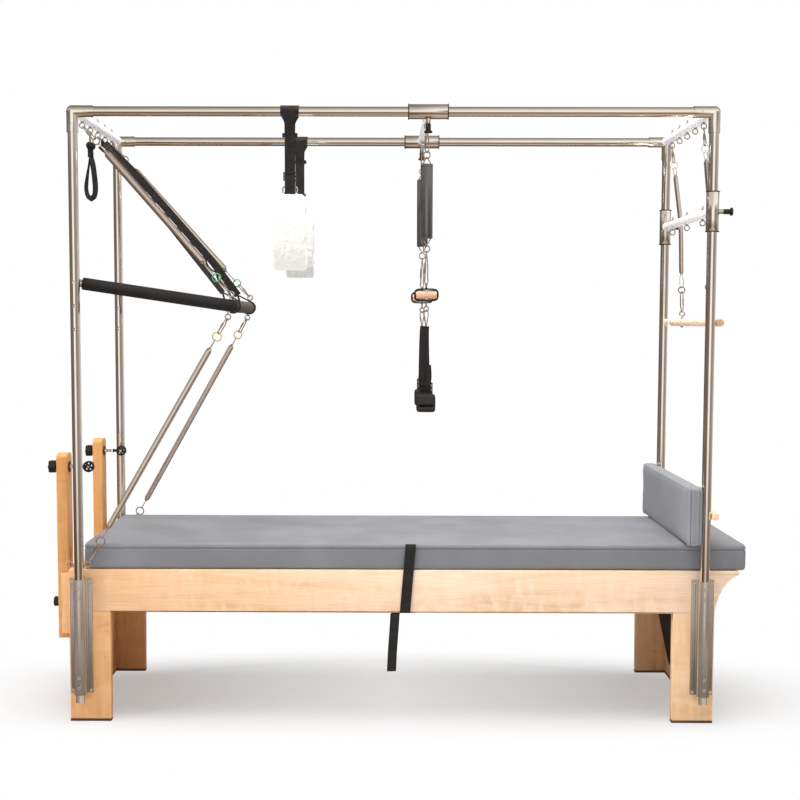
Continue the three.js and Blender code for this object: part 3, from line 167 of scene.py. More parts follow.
ray = node(sky, "LightPath").outputs
plain = light(sky, "Background", white, room_light)
metal_sees = light(sky, "Background", seen, 1)
picture_back = light(sky, "Background", white, 1)
through = maths(sky, "MAXIMUM", ray["Is Camera Ray"], ray["Is Transmission Ray"])
lit = node(sky, "MixShader", {0: ray["Is Glossy Ray"], 1: plain, 2: metal_sees}).outputs[0]
shown = node(sky, "MixShader", {0: through, 1: lit, 2: picture_back}).outputs[0]
node(sky, "OutputWorld", {"Surface": shown})

for label, place, aim, wide, deep, power in (
    ("soft_box_overhead", (0.3, -0.5, 4.6), (0.1, 0.0, 0.5), 4.5, 3.0, 390),
    ("soft_box_left", (-3.8, -1.5, 2.4), (0.6, 0.0, 0.8), 2.2, 2.2, 88),
):
    bpy.ops.object.light_add(type="AREA", location=place)
    lamp = bpy.context.object
    lamp.name = label
    lamp.rotation_euler = (Vector(aim) - Vector(place)).to_track_quat("-Z", "Y").to_euler()
    lamp.data.shape = "RECTANGLE"
    lamp.data.size, lamp.data.size_y = wide, deep
    lamp.data.energy = power
    lamp.visible_glossy = False

# The floor is a sheet of white card. It keeps the soft shadow of the bench, lightened by a painted light
# under the middle of the bench, and gives back the light that falls on it, and steel doesn't see it, because
# the room above has its brown floor already.
floor_size, floor_glow, floor_share, floor_back = 60, 0.40, 0.31, 0.8
shadow_long, shadow_deep = 2.0, 0.62
fade_start, fade_end = 0.6, 1.02
# How far and how strongly a painted light lightens the shadow under the middle of the bench.
painted_light_reach, painted_light_strength = 0.9, 0.42
bpy.ops.mesh.primitive_plane_add(size=floor_size)
floor = bpy.context.object
floor.name = "studio_floor"
floor.visible_glossy = False
card = bpy.data.materials.new("studio_card")
card.use_nodes = True
tree = card.node_tree
tree.nodes.clear()
ray = node(tree, "LightPath").outputs
shadowed = light(tree, "BsdfDiffuse", (floor_share, floor_share, floor_share, 1))
glow = light(tree, "Emission", white, floor_glow)
pictured = node(tree, "AddShader", {0: shadowed, 1: glow}).outputs[0]
bounced = light(tree, "BsdfDiffuse", (floor_back, floor_back, floor_back, 1))
spot = node(tree, "TexCoord").outputs["Object"]
stretch = (1 / shadow_long, 1 / shadow_deep, 1.0)
spread_out = node(tree, "Mapping", {0: spot, "Scale": stretch}).outputs[0]
away = node(tree, "VectorMath", {0: spread_out}, operation="LENGTH").outputs["Value"]
# Painted light: the shadow under the bench is lightened, most at the middle of the table and less toward its
# ends.
aside = maths(tree, "ABSOLUTE", node(tree, "SeparateXYZ", {0: spot}).outputs["X"])
middle = maths(tree, "MULTIPLY", span(tree, aside, painted_light_reach, 0.0), painted_light_strength)
faded = maths(tree, "MAXIMUM", span(tree, away, fade_start, fade_end), middle)
open_floor = light(tree, "Emission", white, 1.0)
pictured = node(tree, "MixShader", {0: faded, 1: pictured, 2: open_floor}).outputs[0]
surface = node(tree, "MixShader", {0: ray["Is Camera Ray"], 1: bounced, 2: pictured}).outputs[0]
node(tree, "OutputMaterial", {"Surface": surface})
floor.data.materials.append(card)


# The bench is solid maple under a clear satin varnish: a rail on two legs at the front and at the rear,
# end panels between them, and a deck whose round nose reaches past the right legs. Glued and dowelled.
def choose(piece):
    """Makes a piece the only one selected, as a click on it does."""
    bpy.ops.object.select_all(action="DESELECT")
    piece.select_set(True)
    bpy.context.view_layer.objects.active = piece


def edit(piece):
    choose(piece)
    bpy.ops.object.mode_set(mode="EDIT")
    bpy.ops.mesh.select_all(action="DESELECT")


def done():
    bpy.ops.object.mode_set(mode="OBJECT")


def pick(piece, kind, test):
    """In edit mode, selects the faces or edges that pass a test of their middle and direction."""
    bpy.ops.mesh.select_all(action="DESELECT")
    bpy.ops.mesh.select_mode(type=kind)
    mesh = bmesh.from_edit_mesh(piece.data)
    if kind == "FACE":
        for face in mesh.faces:
            face.select_set(test(face.calc_center_median(), face.normal))
    else:
        for edge in mesh.edges:
            ends = [v.co for v in edge.verts]
            edge.select_set(test((ends[0] + ends[1]) / 2, (ends[1] - ends[0]).normalized()))
    bmesh.update_edit_mesh(piece.data)


def apply(piece, kind, **settings):
    """Adds a modifier and applies it at once."""
    choose(piece)
    modifier = piece.modifiers.new(kind.lower(), kind)
    for key, value in settings.items():
        setattr(modifier, key, value)
    bpy.ops.object.modifier_apply(modifier=modifier.name)


def round_edges(piece, width, segments=3, angle=30):
    apply(piece, "BEVEL", width=width, segments=segments, limit_method="ANGLE",
          angle_limit=math.radians(angle))


def set_down(piece):
    """Applies place, turn and size, so that the piece's object stands at the origin."""
    choose(piece)
    bpy.ops.object.transform_apply(location=True, rotation=True, scale=True)


def complete(piece, name, body, finish, replaces=(), smooth=35):
    """The last touches on a piece: its name, its finish, its smooth faces and the body it moves with.
    A pair of points instead of a body leaves it on no body, with its place kept in its mesh."""
    set_down(piece)
    piece.name = name
    piece.data.name = name
    piece.data.materials.clear()
    piece.data.materials.append(finish)
    bpy.ops.object.shade_smooth_by_angle(angle=math.radians(smooth))
    if isinstance(body, str):
        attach(piece, body)
    else:
        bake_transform(piece)
    if replaces:
        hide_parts(*replaces)


def copy_of(piece):
    """A copy with its own mesh."""
    twin = piece.copy()
    twin.data = piece.data.copy()
    bpy.context.scene.collection.objects.link(twin)
    return twin


def board_from(cad_name):
    """A copy of a CAD board with its corners merged and its flat sides whole."""
    board = copy_of(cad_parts[cad_name])
    board.parent = None
    for key in list(board.keys()):
        del board[key]
    board.hide_render = board.hide_viewport = False
    edit(board)
    bpy.ops.mesh.select_all(action="SELECT")
    bpy.ops.mesh.remove_doubles(threshold=merge_within)
    bpy.ops.mesh.dissolve_limited(angle_limit=math.radians(1))
    done()
    return board


def keep_side(piece, height, upper):
    """Saws a piece level at a height and keeps the upper or the lower part."""
    edit(piece)
    bpy.ops.mesh.select_all(action="SELECT")
    bpy.ops.mesh.bisect(plane_co=(0, 0, height), plane_no=(0, 0, 1), use_fill=True,
                        clear_inner=upper, clear_outer=not upper)
    done()


def start_finish(name):
    """A new material: itself, its tree, its shader, and the place on the piece in metres."""
    finish = bpy.data.materials.new(name)
    finish.use_nodes = True
    tree = finish.node_tree
    return finish, tree, tree.nodes["Principled BSDF"], node(tree, "TexCoord").outputs["Object"]


def noise(tree, place, scale, detail, **more):
    """Soft random patches, so many to a metre."""
    inputs = {"Vector": place, "Scale": scale, "Detail": detail, **more}
    return node(tree, "TexNoise", inputs).outputs["Fac"]


def stretched(tree, place, scale):
    return node(tree, "Mapping", {0: place, "Scale": scale}).outputs[0]


def surfaced(tree, shader, colour, rough, height, strength, depth, under=None):
    """Joins a colour, a roughness and a fine relief to the shader."""
    tree.links.new(colour, shader.inputs["Base Color"])
    tree.links.new(rough, shader.inputs["Roughness"])
    inputs = {"Height": height, "Strength": strength, "Distance": depth}
    if under is not None:
        inputs["Normal"] = under
    tree.links.new(node(tree, "Bump", inputs).outputs[0], shader.inputs["Normal"])


def maple(name, grain, pale="f8dcc2", middle="f2d0ae", dark="e2b68c"):
    """Varnished maple with its grain along one axis: long fibres, soft curls across and pale patches.
    The wood is painted darker and more amber toward the left end of the table: painted shade, where less
    light falls."""
    finish, tree, shader, place = start_finish(name)
    long_way, curl_way, fibre_way = [9.0, 9.0, 9.0], [5.0, 5.0, 5.0], [150.0, 150.0, 150.0]
    long_way[grain], curl_way[grain], fibre_way[grain] = 0.9, 11.0, 4.0
    figure = noise(tree, stretched(tree, place, long_way), 1.6, 5.0, Roughness=0.6, Distortion=0.7)
    curls = noise(tree, stretched(tree, place, curl_way), 1.5, 3.0, Distortion=1.2)
    fibres = noise(tree, stretched(tree, place, fibre_way), 2.0, 2.0)
    colour = ramp(tree, figure, (0.30, pale), (0.52, middle), (0.72, dark))
    colour = blend_colours(tree, span(tree, curls, 0.40, 0.72), colour, paint(pale))
    shade = ramp(tree, fibres, (0.35, "e8dfd4"), (0.65, "ffffff"))
    colour = blend_colours(tree, 0.55, colour, shade, "MULTIPLY")
    # Painted shade: toward the left end of the table the colour is darkened and warmed, because less light
    # falls there.
    along = node(tree, "SeparateXYZ", {0: place}).outputs["X"]
    painted_left_shade = blend_colours(tree, 1.0, colour, paint("eed5b3"), "MULTIPLY")
    colour = blend_colours(tree, span(tree, along, -1.2, 0.1), painted_left_shade, colour)
    shader.inputs["Coat Weight"].default_value = 0.15
    shader.inputs["Coat Roughness"].default_value = 0.25
    surfaced(tree, shader, colour, span(tree, figure, -0.6, 1.6), fibres, 0.12, 0.4 * mm)
    return finish


mm = 0.001
merge_within = 0.02 * mm
bench_rail_tall, bench_edge, panel_edge = 143 * mm, 2.2 * mm, 1.2 * mm
both_sides = (("front", -1), ("rear", 1))
maple_along = maple("maple_grain_along", 0)
maple_up = maple("maple_grain_up", 2, pale="f2cfaa", middle="eabf92", dark="d8a472")
maple_across = maple("maple_grain_across", 1)
rail_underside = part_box("front_side_panel")[1].z - bench_rail_tall
for side in ("front", "rear"):
    cad_name = side + "_side_panel"
    for part, upper, finish in (("rail", True, maple_along), ("legs", False, maple_up)):
        board = board_from(cad_name)
        keep_side(board, rail_underside, upper)
        round_edges(board, bench_edge)
        complete(board, "%s_bench_%s" % (side, part), "table", finish, [cad_name])
for cad_name, finish in (
    ("left_end_panel", maple_across),
    ("right_end_panel", maple_across),
    ("deck_board", maple_along),
):
    board = board_from(cad_name)
    round_edges(board, panel_edge, segments=2)
    complete(board, cad_name + "_dressed", "table", finish, [cad_name])

# Dark brown strips of wood under the legs keep the maple off the floor. They are screwed on from below, one
# under the left pair of legs and one under the right pair.
strip_edge = 1 * mm
dark_wood = maple("dark_foot_wood", 1, pale="63402c", middle="523221", dark="3f2517")
for end in ("left", "right"):
    strip = board_from("foot_strip_" + end)
    round_edges(strip, strip_edge, segments=2)
    complete(strip, "foot_strip_%s_dressed" % end, "table", dark_wood,
             ["foot_strip_" + end])


# Each upright stands in an extruded aluminium bracket: two bevelled flanges with grooves, a web, and a
# round socket. Cap screws hold the flanges on the leg, and pairs of set screws clamp the tube.
def add_cylinder(radius, depth, place, along="Z", sides=40, top_radius=None):
    """A round bar with its middle at a place, along one axis or any direction."""
    axes = {"X": (1, 0, 0), "Y": (0, 1, 0), "Z": (0, 0, 1)}
    way = Vector(axes[along] if isinstance(along, str) else along)
    bpy.ops.object.select_all(action="DESELECT")
    bpy.ops.mesh.primitive_cone_add(vertices=sides, radius1=radius, depth=depth, location=place,
                                    radius2=radius if top_radius is None else top_radius)
    bar = bpy.context.object
    bar.rotation_euler = way.to_track_quat("Z", "Y").to_euler()
    set_down(bar)
    return bar


def add_block(low, high):
    """A block between two corners."""
    bpy.ops.object.select_all(action="DESELECT")
    middle = [(a + b) / 2 for a, b in zip(low, high)]
    bpy.ops.mesh.primitive_cube_add(size=1, location=middle)
    block = bpy.context.object
    block.scale = [abs(b - a) for a, b in zip(low, high)]
    set_down(block)
    return block


def combine(piece, tool, operation):
    apply(piece, "BOOLEAN", operation=operation, solver="EXACT", object=tool)
    bpy.data.objects.remove(tool)


def gather(pieces):
    """Makes one piece of several."""
    choose(pieces[0])
    for piece in pieces[1:]:
        piece.select_set(True)
    bpy.ops.object.join()
    return pieces[0]


def carried(piece, x, sx=1, sy=1):
    """A copy of a piece made for the front left corner, mirrored and carried to the corner at x."""
    turn = Matrix.Translation((x, 0, 0)) @ Matrix.Diagonal((sx, sy, 1, 1))
    twin = copy_of(piece)
    twin.data.transform(turn @ Matrix.Translation((-left_x, 0, 0)))
    if turn.determinant() < 0:
        twin.data.flip_normals()
    return twin


def about(tree, value, middle, spread):
    """A number that strays to both sides of a middle."""
    inputs = {"Value": value, "To Min": middle - spread, "To Max": middle + spread}
    return node(tree, "MapRange", inputs).outputs[0]


def mottled(tree, patches, low, high, code, dark):
    """A colour with darker patches."""
    tint = [c * dark for c in paint(code)[:3]] + [1]
    return blend_colours(tree, span(tree, patches, low, high), tint, paint(code))


def metal(name, code, roughness, grain=(400.0, 400.0, 8.0), bare=1.0):
    """Bare metal with fine brushing along one axis and faint handling marks."""
    finish, tree, shader, place = start_finish(name)
    shader.inputs["Metallic"].default_value = bare
    lines = noise(tree, stretched(tree, place, grain), 1.0, 2.0)
    colour = mottled(tree, noise(tree, place, 14.0, 4.0), 0.25, 0.75, code, 0.93)
    surfaced(tree, shader, colour, about(tree, lines, roughness, 0.03), lines, 0.02, 0.2 * mm)
    return finish


steel = metal("polished_steel", "fbf7f2", 0.09)
satin_aluminium = metal("satin_aluminium", "c6bbb1", 0.26, grain=(500.0, 500.0, 6.0), bare=0.78)
front_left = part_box("bracket_front_left")
bracket_low, bracket_high = front_left[0].z, front_left[1].z
left_x = (front_left[0].x + front_left[1].x) / 2
right_x = sum(c.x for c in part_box("bracket_front_right")) / 2
upright_y = 345 * mm
bench_face = front_left[1].y
tube_radius, socket_wall, socket_gap = 16 * mm, 4.6 * mm, 0.25 * mm
flange_half, flange_deep, flange_chamfer = 38 * mm, 5 * mm, 3 * mm
groove_places = (-30.5 * mm, -23.5 * mm, 23.5 * mm, 30.5 * mm)
groove_half, groove_deep = 1.2 * mm, 2.4 * mm
web_half, bracket_edge = 13 * mm, 0.5 * mm
line_radius, line_aside, line_out = 0.9 * mm, 8.5 * mm, 19.5 * mm
flange_screw_rise, flange_screw_aside = 9 * mm, 30.4 * mm
set_screw_drops, set_screw_rises = (24 * mm, 59 * mm), (26 * mm, 60 * mm)
cap_radius, cap_tall, cap_edge = 5.4 * mm, 3 * mm, 0.25 * mm


def screw(place, way, radius, head):
    """A cap screw with a round head and a socket in it."""
    way = Vector(way)
    part = add_cylinder(radius, head, Vector(place) + way * head / 2, way, 14)
    edit(part)
    pick(part, "FACE", lambda at, normal: normal.dot(way) > 0.9)
    bpy.ops.mesh.inset(thickness=radius * 0.42)
    bpy.ops.mesh.extrude_region_move(TRANSFORM_OT_translate={"value": -way * head * 0.7})
    done()
    round_edges(part, cap_edge, 1)
    return part


def bracket():
    """The front left bracket and its screws."""
    centre = (left_x, -upright_y, (bracket_low + bracket_high) / 2)
    tall = bracket_high - bracket_low
    outside = bench_face - flange_deep
    body = add_block((left_x - flange_half, outside, bracket_low),
                     (left_x + flange_half, bench_face, bracket_high))
    edit(body)
    pick(body, "EDGE", lambda at, way: abs(way.z) > 0.9 and at.y < outside + flange_deep / 2)
    bpy.ops.mesh.bevel(offset=flange_chamfer, segments=2)
    done()
    for groove in groove_places:
        x = left_x + groove
        slot = add_block((x - groove_half, outside - mm, bracket_low - mm),
                         (x + groove_half, outside + groove_deep, bracket_high + mm))
        combine(body, slot, "DIFFERENCE")
    web = add_block((left_x - web_half, -upright_y, bracket_low),
                    (left_x + web_half, bench_face - mm, bracket_high))
    combine(body, web, "UNION")
    combine(body, add_cylinder(tube_radius + socket_wall, tall, centre, sides=56), "UNION")
    for aside in (-line_aside, line_aside):
        at = (left_x + aside, -upright_y - line_out, centre[2])
        combine(body, add_cylinder(line_radius, tall + 2 * mm, at, sides=10), "DIFFERENCE")
    bore = add_cylinder(tube_radius + socket_gap, tall + 4 * mm, centre, sides=56)
    combine(body, bore, "DIFFERENCE")
    round_edges(body, bracket_edge, 2)
    spots = [(left_x + aside, outside, z)
             for z in (bracket_low + flange_screw_rise, bracket_high - flange_screw_rise)
             for aside in (-flange_screw_aside, flange_screw_aside)]
    socket_face = -upright_y - tube_radius - socket_wall + mm
    spots += [(left_x, socket_face, bracket_high - drop) for drop in set_screw_drops]
    spots += [(left_x, socket_face, bracket_low + rise) for rise in set_screw_rises]
    return body, gather([screw(spot, (0, -1, 0), cap_radius, cap_tall) for spot in spots])


screw_steel = metal("screw_steel", "eee8e0", 0.16)
first_bracket, first_screws = bracket()
for side, sy in (("front", 1), ("rear", -1)):
    for end, x in (("left", left_x), ("right", right_x)):
        complete(carried(first_bracket, x, 1, sy), "bracket_%s_%s_dressed" % (side, end), "table",
                 satin_aluminium, ["bracket_%s_%s" % (side, end)])
        complete(carried(first_screws, x, 1, sy), "bracket_screws_%s_%s" % (side, end), "table",
                 screw_steel)
bpy.data.objects.remove(first_bracket)
bpy.data.objects.remove(first_screws)


# Four uprights of polished steel tube, open at the foot. The left ones are drilled for the bar's pins
# and carry two small eyes at the mattress.
def tube_between(start, end, radius, wall, sides=48):
    """A length of tube, hollow at both ends as far as one sees into it."""
    start, end = Vector(start), Vector(end)
    way = (end - start).normalized()
    part = add_cylinder(radius, (end - start).length, (start + end) / 2, way, sides)
    edit(part)
    pick(part, "FACE", lambda at, normal: abs(normal.dot(way)) > 0.9)
    bpy.ops.mesh.inset(thickness=wall, use_individual=True)
    faces = [f for f in bmesh.from_edit_mesh(part.data).faces if f.select]
    ends = [f.calc_center_median().copy() for f in faces]
    for middle in ends:
        inward = ((start + end) / 2 - middle).normalized()
        pick(part, "FACE", lambda at, normal: (at - middle).length < radius * 0.1)
        bpy.ops.mesh.extrude_region_move(TRANSFORM_OT_translate={"value": inward * radius * 2.5})
    done()
    return part


def ring(place, radius, thick, around=(0, 1, 0), sides=28, wire_sides=8):
    """A ring of round wire about a place; around is the direction that it turns about."""
    bpy.ops.object.select_all(action="DESELECT")
    bpy.ops.mesh.primitive_torus_add(major_radius=radius, minor_radius=thick, major_segments=sides,
                                     minor_segments=wire_sides, location=place)
    part = bpy.context.object
    part.rotation_euler = Vector(around).to_track_quat("Z", "Y").to_euler()
    set_down(part)
    return part


upright_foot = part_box("upright_front_right")[0].z
upright_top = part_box("upright_front_right")[1].z
tube_wall = 2 * mm
hole_heights, hole_radius, drill_long = (1.480, 1.403, 1.326), 5.2 * mm, 60 * mm
ankle_eye_height, ankle_eye_out, ankle_eye_radius = 541.5 * mm, 28.5 * mm, 9.2 * mm
eye_wire, shank_radius, shank_long, shank_out = 2.3 * mm, 3 * mm, 8 * mm, 17.5 * mm
for side, sy in both_sides:
    y = sy * upright_y
    for end, x in (("left", left_x), ("right", right_x)):
        part = tube_between((x, y, upright_foot), (x, y, upright_top), tube_radius, tube_wall)
        if end == "left":
            for height in hole_heights:
                drill = add_cylinder(hole_radius, drill_long, (x, y, height), "Y", 20)
                combine(part, drill, "DIFFERENCE")
            eyes = []
            for s in (-1, 1):
                eyes.append(ring((x + s * ankle_eye_out, y, ankle_eye_height), ankle_eye_radius, eye_wire))
                eyes.append(add_cylinder(shank_radius, shank_long, (x + s * shank_out, y, ankle_eye_height),
                                         "X", 12))
            complete(gather(eyes), "ankle_eyes_" + side, "table", screw_steel)
        complete(part, "upright_%s_%s_dressed" % (side, end), "table", steel,
                 ["upright_%s_%s" % (side, end)])

# Two top rails of the same tube, and a crossbar at each end. Tight steel elbows with set screws join
# them, and five eyebolts hang under each crossbar, with their nuts on top.
rail_z = (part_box("rail_front")[0].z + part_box("rail_front")[1].z) / 2
rail_start, rail_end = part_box("rail_front")[0].x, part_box("rail_front")[1].x
steel_along = metal("polished_steel_along", "fbf7f2", 0.09, grain=(8.0, 400.0, 400.0))
pale_aluminium = metal("bright_aluminium", "f4f3f3", 0.45, grain=(500.0, 8.0, 500.0), bare=0.12)
elbow_radius, elbow_arm, elbow_gap, elbow_edge = 19 * mm, 68 * mm, 0.3 * mm, 0.8 * mm
elbow_screw_share, elbow_screw_radius, elbow_screw_tall, elbow_screw_sunk = 0.62, 3 * mm, 1.2 * mm, 0.6 * mm
crossbar_radius, crossbar_inset, crossbar_edge = 15 * mm, 5 * mm, 0.6 * mm
collar_out, collar_wide = 1.2 * mm, 6 * mm
eye_drop, eye_pitch, eye_radius = 12.5 * mm, 115 * mm, 9 * mm
nut_radius, nut_tall, bolt_wall, bolt_rise, nut_edge = 5.5 * mm, 5 * mm, 2.2 * mm, 9 * mm, 0.4 * mm
shoulder_low, shoulder_high, shoulder_tall = 4.6 * mm, 5.4 * mm, 3.4 * mm
for side, sy in both_sides:
    part = tube_between((rail_start, sy * upright_y, rail_z), (rail_end, sy * upright_y, rail_z),
                        tube_radius, tube_wall)
    complete(part, "rail_%s_dressed" % side, "table", steel_along, ["rail_" + side])


def elbow():
    """The front left corner: two arms that meet in a ball, and their set screws."""
    corner = Vector((left_x, -upright_y, rail_z))
    down, right = Vector((0, 0, -elbow_arm)), Vector((elbow_arm, 0, 0))
    part = add_cylinder(elbow_radius, elbow_arm, corner + down / 2, "Z", 48)
    combine(part, add_cylinder(elbow_radius, elbow_arm, corner + right / 2, "X", 48), "UNION")
    bpy.ops.object.select_all(action="DESELECT")
    bpy.ops.mesh.primitive_uv_sphere_add(segments=48, ring_count=24, radius=elbow_radius * 1.001,
                                         location=corner)
    combine(part, bpy.context.object, "UNION")
    for way, axis in ((down, "Z"), (right, "X")):
        hole = add_cylinder(tube_radius + elbow_gap, elbow_arm, corner + way * 1.1, axis, 48)
        combine(part, hole, "DIFFERENCE")
    round_edges(part, elbow_edge, 2, 50)
    face = Vector((0, elbow_screw_sunk - elbow_radius, 0))
    screws = [screw(corner + face + way * elbow_screw_share, (0, -1, 0), elbow_screw_radius,
                    elbow_screw_tall) for way in (right, down)]
    return part, gather(screws)


def eyebolts(x, z, spots):
    """Steel eyes under a crossbar, their shoulders, and nuts with the ends of the bolts on top."""
    parts = []
    for y in spots:
        nut = add_cylinder(nut_radius, nut_tall, (x, y, z + crossbar_radius + 2 * mm), "Z", 6)
        edit(nut)
        pick(nut, "FACE", lambda at, normal: normal.z > 0.9)
        bpy.ops.mesh.inset(thickness=bolt_wall)
        bpy.ops.mesh.extrude_region_move(TRANSFORM_OT_translate={"value": (0, 0, bolt_rise)})
        done()
        round_edges(nut, nut_edge, 1)
        low = z - crossbar_radius
        parts += [nut, add_cylinder(shoulder_low, shoulder_tall, (x, y, low - mm), "Z", 14, shoulder_high),
                  ring((x, y, low - eye_drop), eye_radius, eye_wire)]
    return gather(parts)


def crossbar(x, z, half, collar_inset):
    """A round bar across the table, with a collar near each end."""
    bar = add_cylinder(crossbar_radius, half * 2, (x, 0, z), "Y", 40)
    collars = [add_cylinder(crossbar_radius + collar_out, collar_wide, (x, s * (half - collar_inset), z),
                            "Y", 40) for s in (-1, 1)]
    bar = gather([bar, *collars])
    round_edges(bar, crossbar_edge, 2)
    return bar


first_elbow, elbow_screws = elbow()
for end, sx, x in (("left", 1, left_x), ("right", -1, right_x)):
    corners = [carried(first_elbow, x, sx, sy) for sy in (1, -1)]
    dots = [carried(elbow_screws, x, sx, sy) for sy in (1, -1)]
    complete(gather(corners), "elbows_" + end, "table", steel, ["crossbar_" + end])
    complete(gather(dots), "elbow_screws_" + end, "table", screw_steel)
    bar_x = x + sx * crossbar_inset
    bar = crossbar(bar_x, rail_z, upright_y - 12 * mm, 9 * mm)
    complete(bar, "crossbar_%s_dressed" % end, "table", pale_aluminium,
             ["crossbar_" + end])
    bolts = eyebolts(bar_x, rail_z, [i * eye_pitch for i in range(-2, 3)])
    complete(bolts, "crossbar_eyes_" + end, "table", screw_steel)
bpy.data.objects.remove(first_elbow)
bpy.data.objects.remove(elbow_screws)

# The mattress is a slab of foam on a board, in a sewn cover of grey vinyl. The top panel wraps over the
# edge and meets the side band in a seam that runs all round, a finger's width below the top.
def vinyl(name, pale, dark):
    """Supple vinyl with a fine leather grain and slow, soft creases."""
    finish, tree, shader, place = start_finish(name)
    cloudy, creases = noise(tree, place, 5.0, 3.0), noise(tree, place, 26.0, 4.0)
    grain = node(tree, "TexVoronoi", {"Vector": place, "Scale": 620.0}).outputs["Distance"]
    colour = ramp(tree, cloudy, (0.35, dark), (0.65, pale))
    soft = node(tree, "Bump", {"Height": creases, "Strength": 0.10, "Distance": 2 * mm}).outputs[0]
    surfaced(tree, shader, colour, span(tree, cloudy, -0.9, 1.7), grain, 0.16, 0.3 * mm, soft)
    return finish


def puffed(piece, voxel, most):
    """Foam in a sewn cover: the cloth swells until it's tight, and no point moves further than most."""
    choose(piece)
    piece.data.remesh_voxel_size = voxel
    bpy.ops.object.voxel_remesh()
    before = [v.co.copy() for v in piece.data.vertices]
    cover = piece.modifiers.new("cover", "CLOTH")
    cover.settings.use_pressure = True
    cover.settings.uniform_pressure_force = cover_pressure
    cover.settings.effector_weights.gravity = 0
    for step in range(1, cover_steps + 1):
        bpy.context.scene.frame_set(step)
    bpy.ops.object.modifier_apply(modifier=cover.name)
    bpy.context.scene.frame_set(1)
    for vertex, start in zip(piece.data.vertices, before):
        way = vertex.co - start
        if way.length > 0:
            vertex.co = start + way.normalized() * most * math.tanh(way.length / most)
    apply(piece, "SUBSURF", levels=1)


def crease(piece, place, way, depth, reach):
    """A sewn seam round a piece: lines are cut in the plane at a place, and drawn in."""
    place, way = Vector(place), Vector(way)
    edit(piece)
    for share in (-1, -0.4, 0, 0.4, 1):
        bpy.ops.mesh.select_all(action="SELECT")
        bpy.ops.mesh.bisect(plane_co=place + way * reach * share, plane_no=way)
    done()
    normals = [v.normal.copy() for v in piece.data.vertices]
    for vertex, normal in zip(piece.data.vertices, normals):
        off = abs((vertex.co - place).dot(way)) / reach
        across = normal - way * normal.dot(way)
        if off < 1 and across.length > 0.5:
            vertex.co -= across.normalized() * depth * (1 - off) ** 2 * (1 + 2 * off)


def slab(low, high, axis, corner, segments, edge):
    """A slab of foam with broad round corners along one axis, and its other edges rounded less."""
    piece = add_block(low, high)
    edit(piece)
    pick(piece, "EDGE", lambda at, way: abs(way[axis]) > 0.9)
    bpy.ops.mesh.bevel(offset=corner, segments=segments)
    done()
    round_edges(piece, edge, 3, 50)
    return piece


cover_pressure, cover_steps, cushion_fill = 4, 20, 0.9
cover_vinyl = vinyl("grey_vinyl_cover", "7f8084", "75767a")
mattress_low, mattress_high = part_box("mattress")
swell = Vector((-3, 1, -3)) * mm
mattress_corner, mattress_edge, mattress_voxel, mattress_rise = 14 * mm, 8 * mm, 12.5 * mm, 4.5 * mm
seam_drop, seam_deep, seam_wide = 15 * mm, 3 * mm, 4 * mm
hem_rise, hem_deep, hem_wide = 6 * mm, 1.2 * mm, 3 * mm
mattress = slab(mattress_low + Vector((swell.x, swell.y, 0)), mattress_high - swell, 2,
                mattress_corner, 5, mattress_edge)
puffed(mattress, mattress_voxel, mattress_rise)
for vertex in mattress.data.vertices:
    vertex.co.z = max(vertex.co.z, mattress_low.z)
crease(mattress, (0, 0, mattress_high.z - seam_drop), (0, 0, 1), seam_deep, seam_wide)
crease(mattress, (0, 0, mattress_low.z + hem_rise), (0, 0, 1), hem_deep, hem_wide)
complete(mattress, "mattress_cover", "table", cover_vinyl, ["mattress"], smooth=50)


# A strap of black webbing goes round the mattress and the bench and holds the mattress down. It is
# pulled tight through a steel buckle under the rail, and the end of it hangs there in front.
def woven(name, code, painted_rib_highlight):
    """Webbing: ribs along its length and fine weft across, laid out in metres on its own map, with a painted
    highlight on the crests of the weave.
    """
    finish, tree, shader, place = start_finish(name)
    laid = node(tree, "SeparateXYZ", {0: node(tree, "TexCoord").outputs["UV"]}).outputs

    def waves(way, step):
        return maths(tree, "SINE", maths(tree, "MULTIPLY", way, 2 * math.pi / step))

    weave = maths(tree, "MULTIPLY_ADD", waves(laid["Y"], weft_step), 0.45, waves(laid["X"], rib_step))
    worn = noise(tree, place, 60.0, 3.0)
    # The lighter colour on the crests of the weave is a painted highlight.
    colour = ramp(tree, span(tree, weave, -1.3, 1.3), (0.1, code), (0.9, painted_rib_highlight))
    colour = blend_colours(tree, span(tree, worn, 0.2, 1.1), colour, paint(code))
    surfaced(tree, shader, colour, span(tree, worn, -2.2, 1.1), weave, 0.5, 0.3 * mm)
    return finish


def spots(origin, *rows):
    """Places given in millimetres from an origin."""
    return [Vector(origin) + Vector(row) * mm for row in rows]


def rounded(points, radius, closed=False, steps=6):
    """A route through points with its corners rounded off."""
    points = [Vector(p) for p in points]
    count = len(points)
    route = []
    for i, point in enumerate(points):
        if not closed and i in (0, count - 1):
            route.append(point)
            continue
        before, after = points[i - 1], points[(i + 1) % count]
        start = point + (before - point).normalized() * min(radius, (before - point).length / 2)
        end = point + (after - point).normalized() * min(radius, (after - point).length / 2)
        for k in range(steps + 1):
            t = k / steps
            route.append(start * (1 - t) ** 2 + point * 2 * t * (1 - t) + end * t**2)
    return route


def smooth_route(points, steps):
    """A smooth route through points."""
    points = [Vector(p) for p in points]
    ends = [points[0] * 2 - points[1], *points, points[-1] * 2 - points[-2]]
    route = []
    for i in range(steps + 1):
        along = i / steps * (len(points) - 1)
        k = min(int(along), len(points) - 2)
        t = along - k
        a, b, c, d = ends[k : k + 4]
        route.append((b * 2 + (c - a) * t + (a * 2 - b * 5 + c * 4 - d) * t**2
                      + (b * 3 - a - c * 3 + d) * t**3) / 2)
    return route


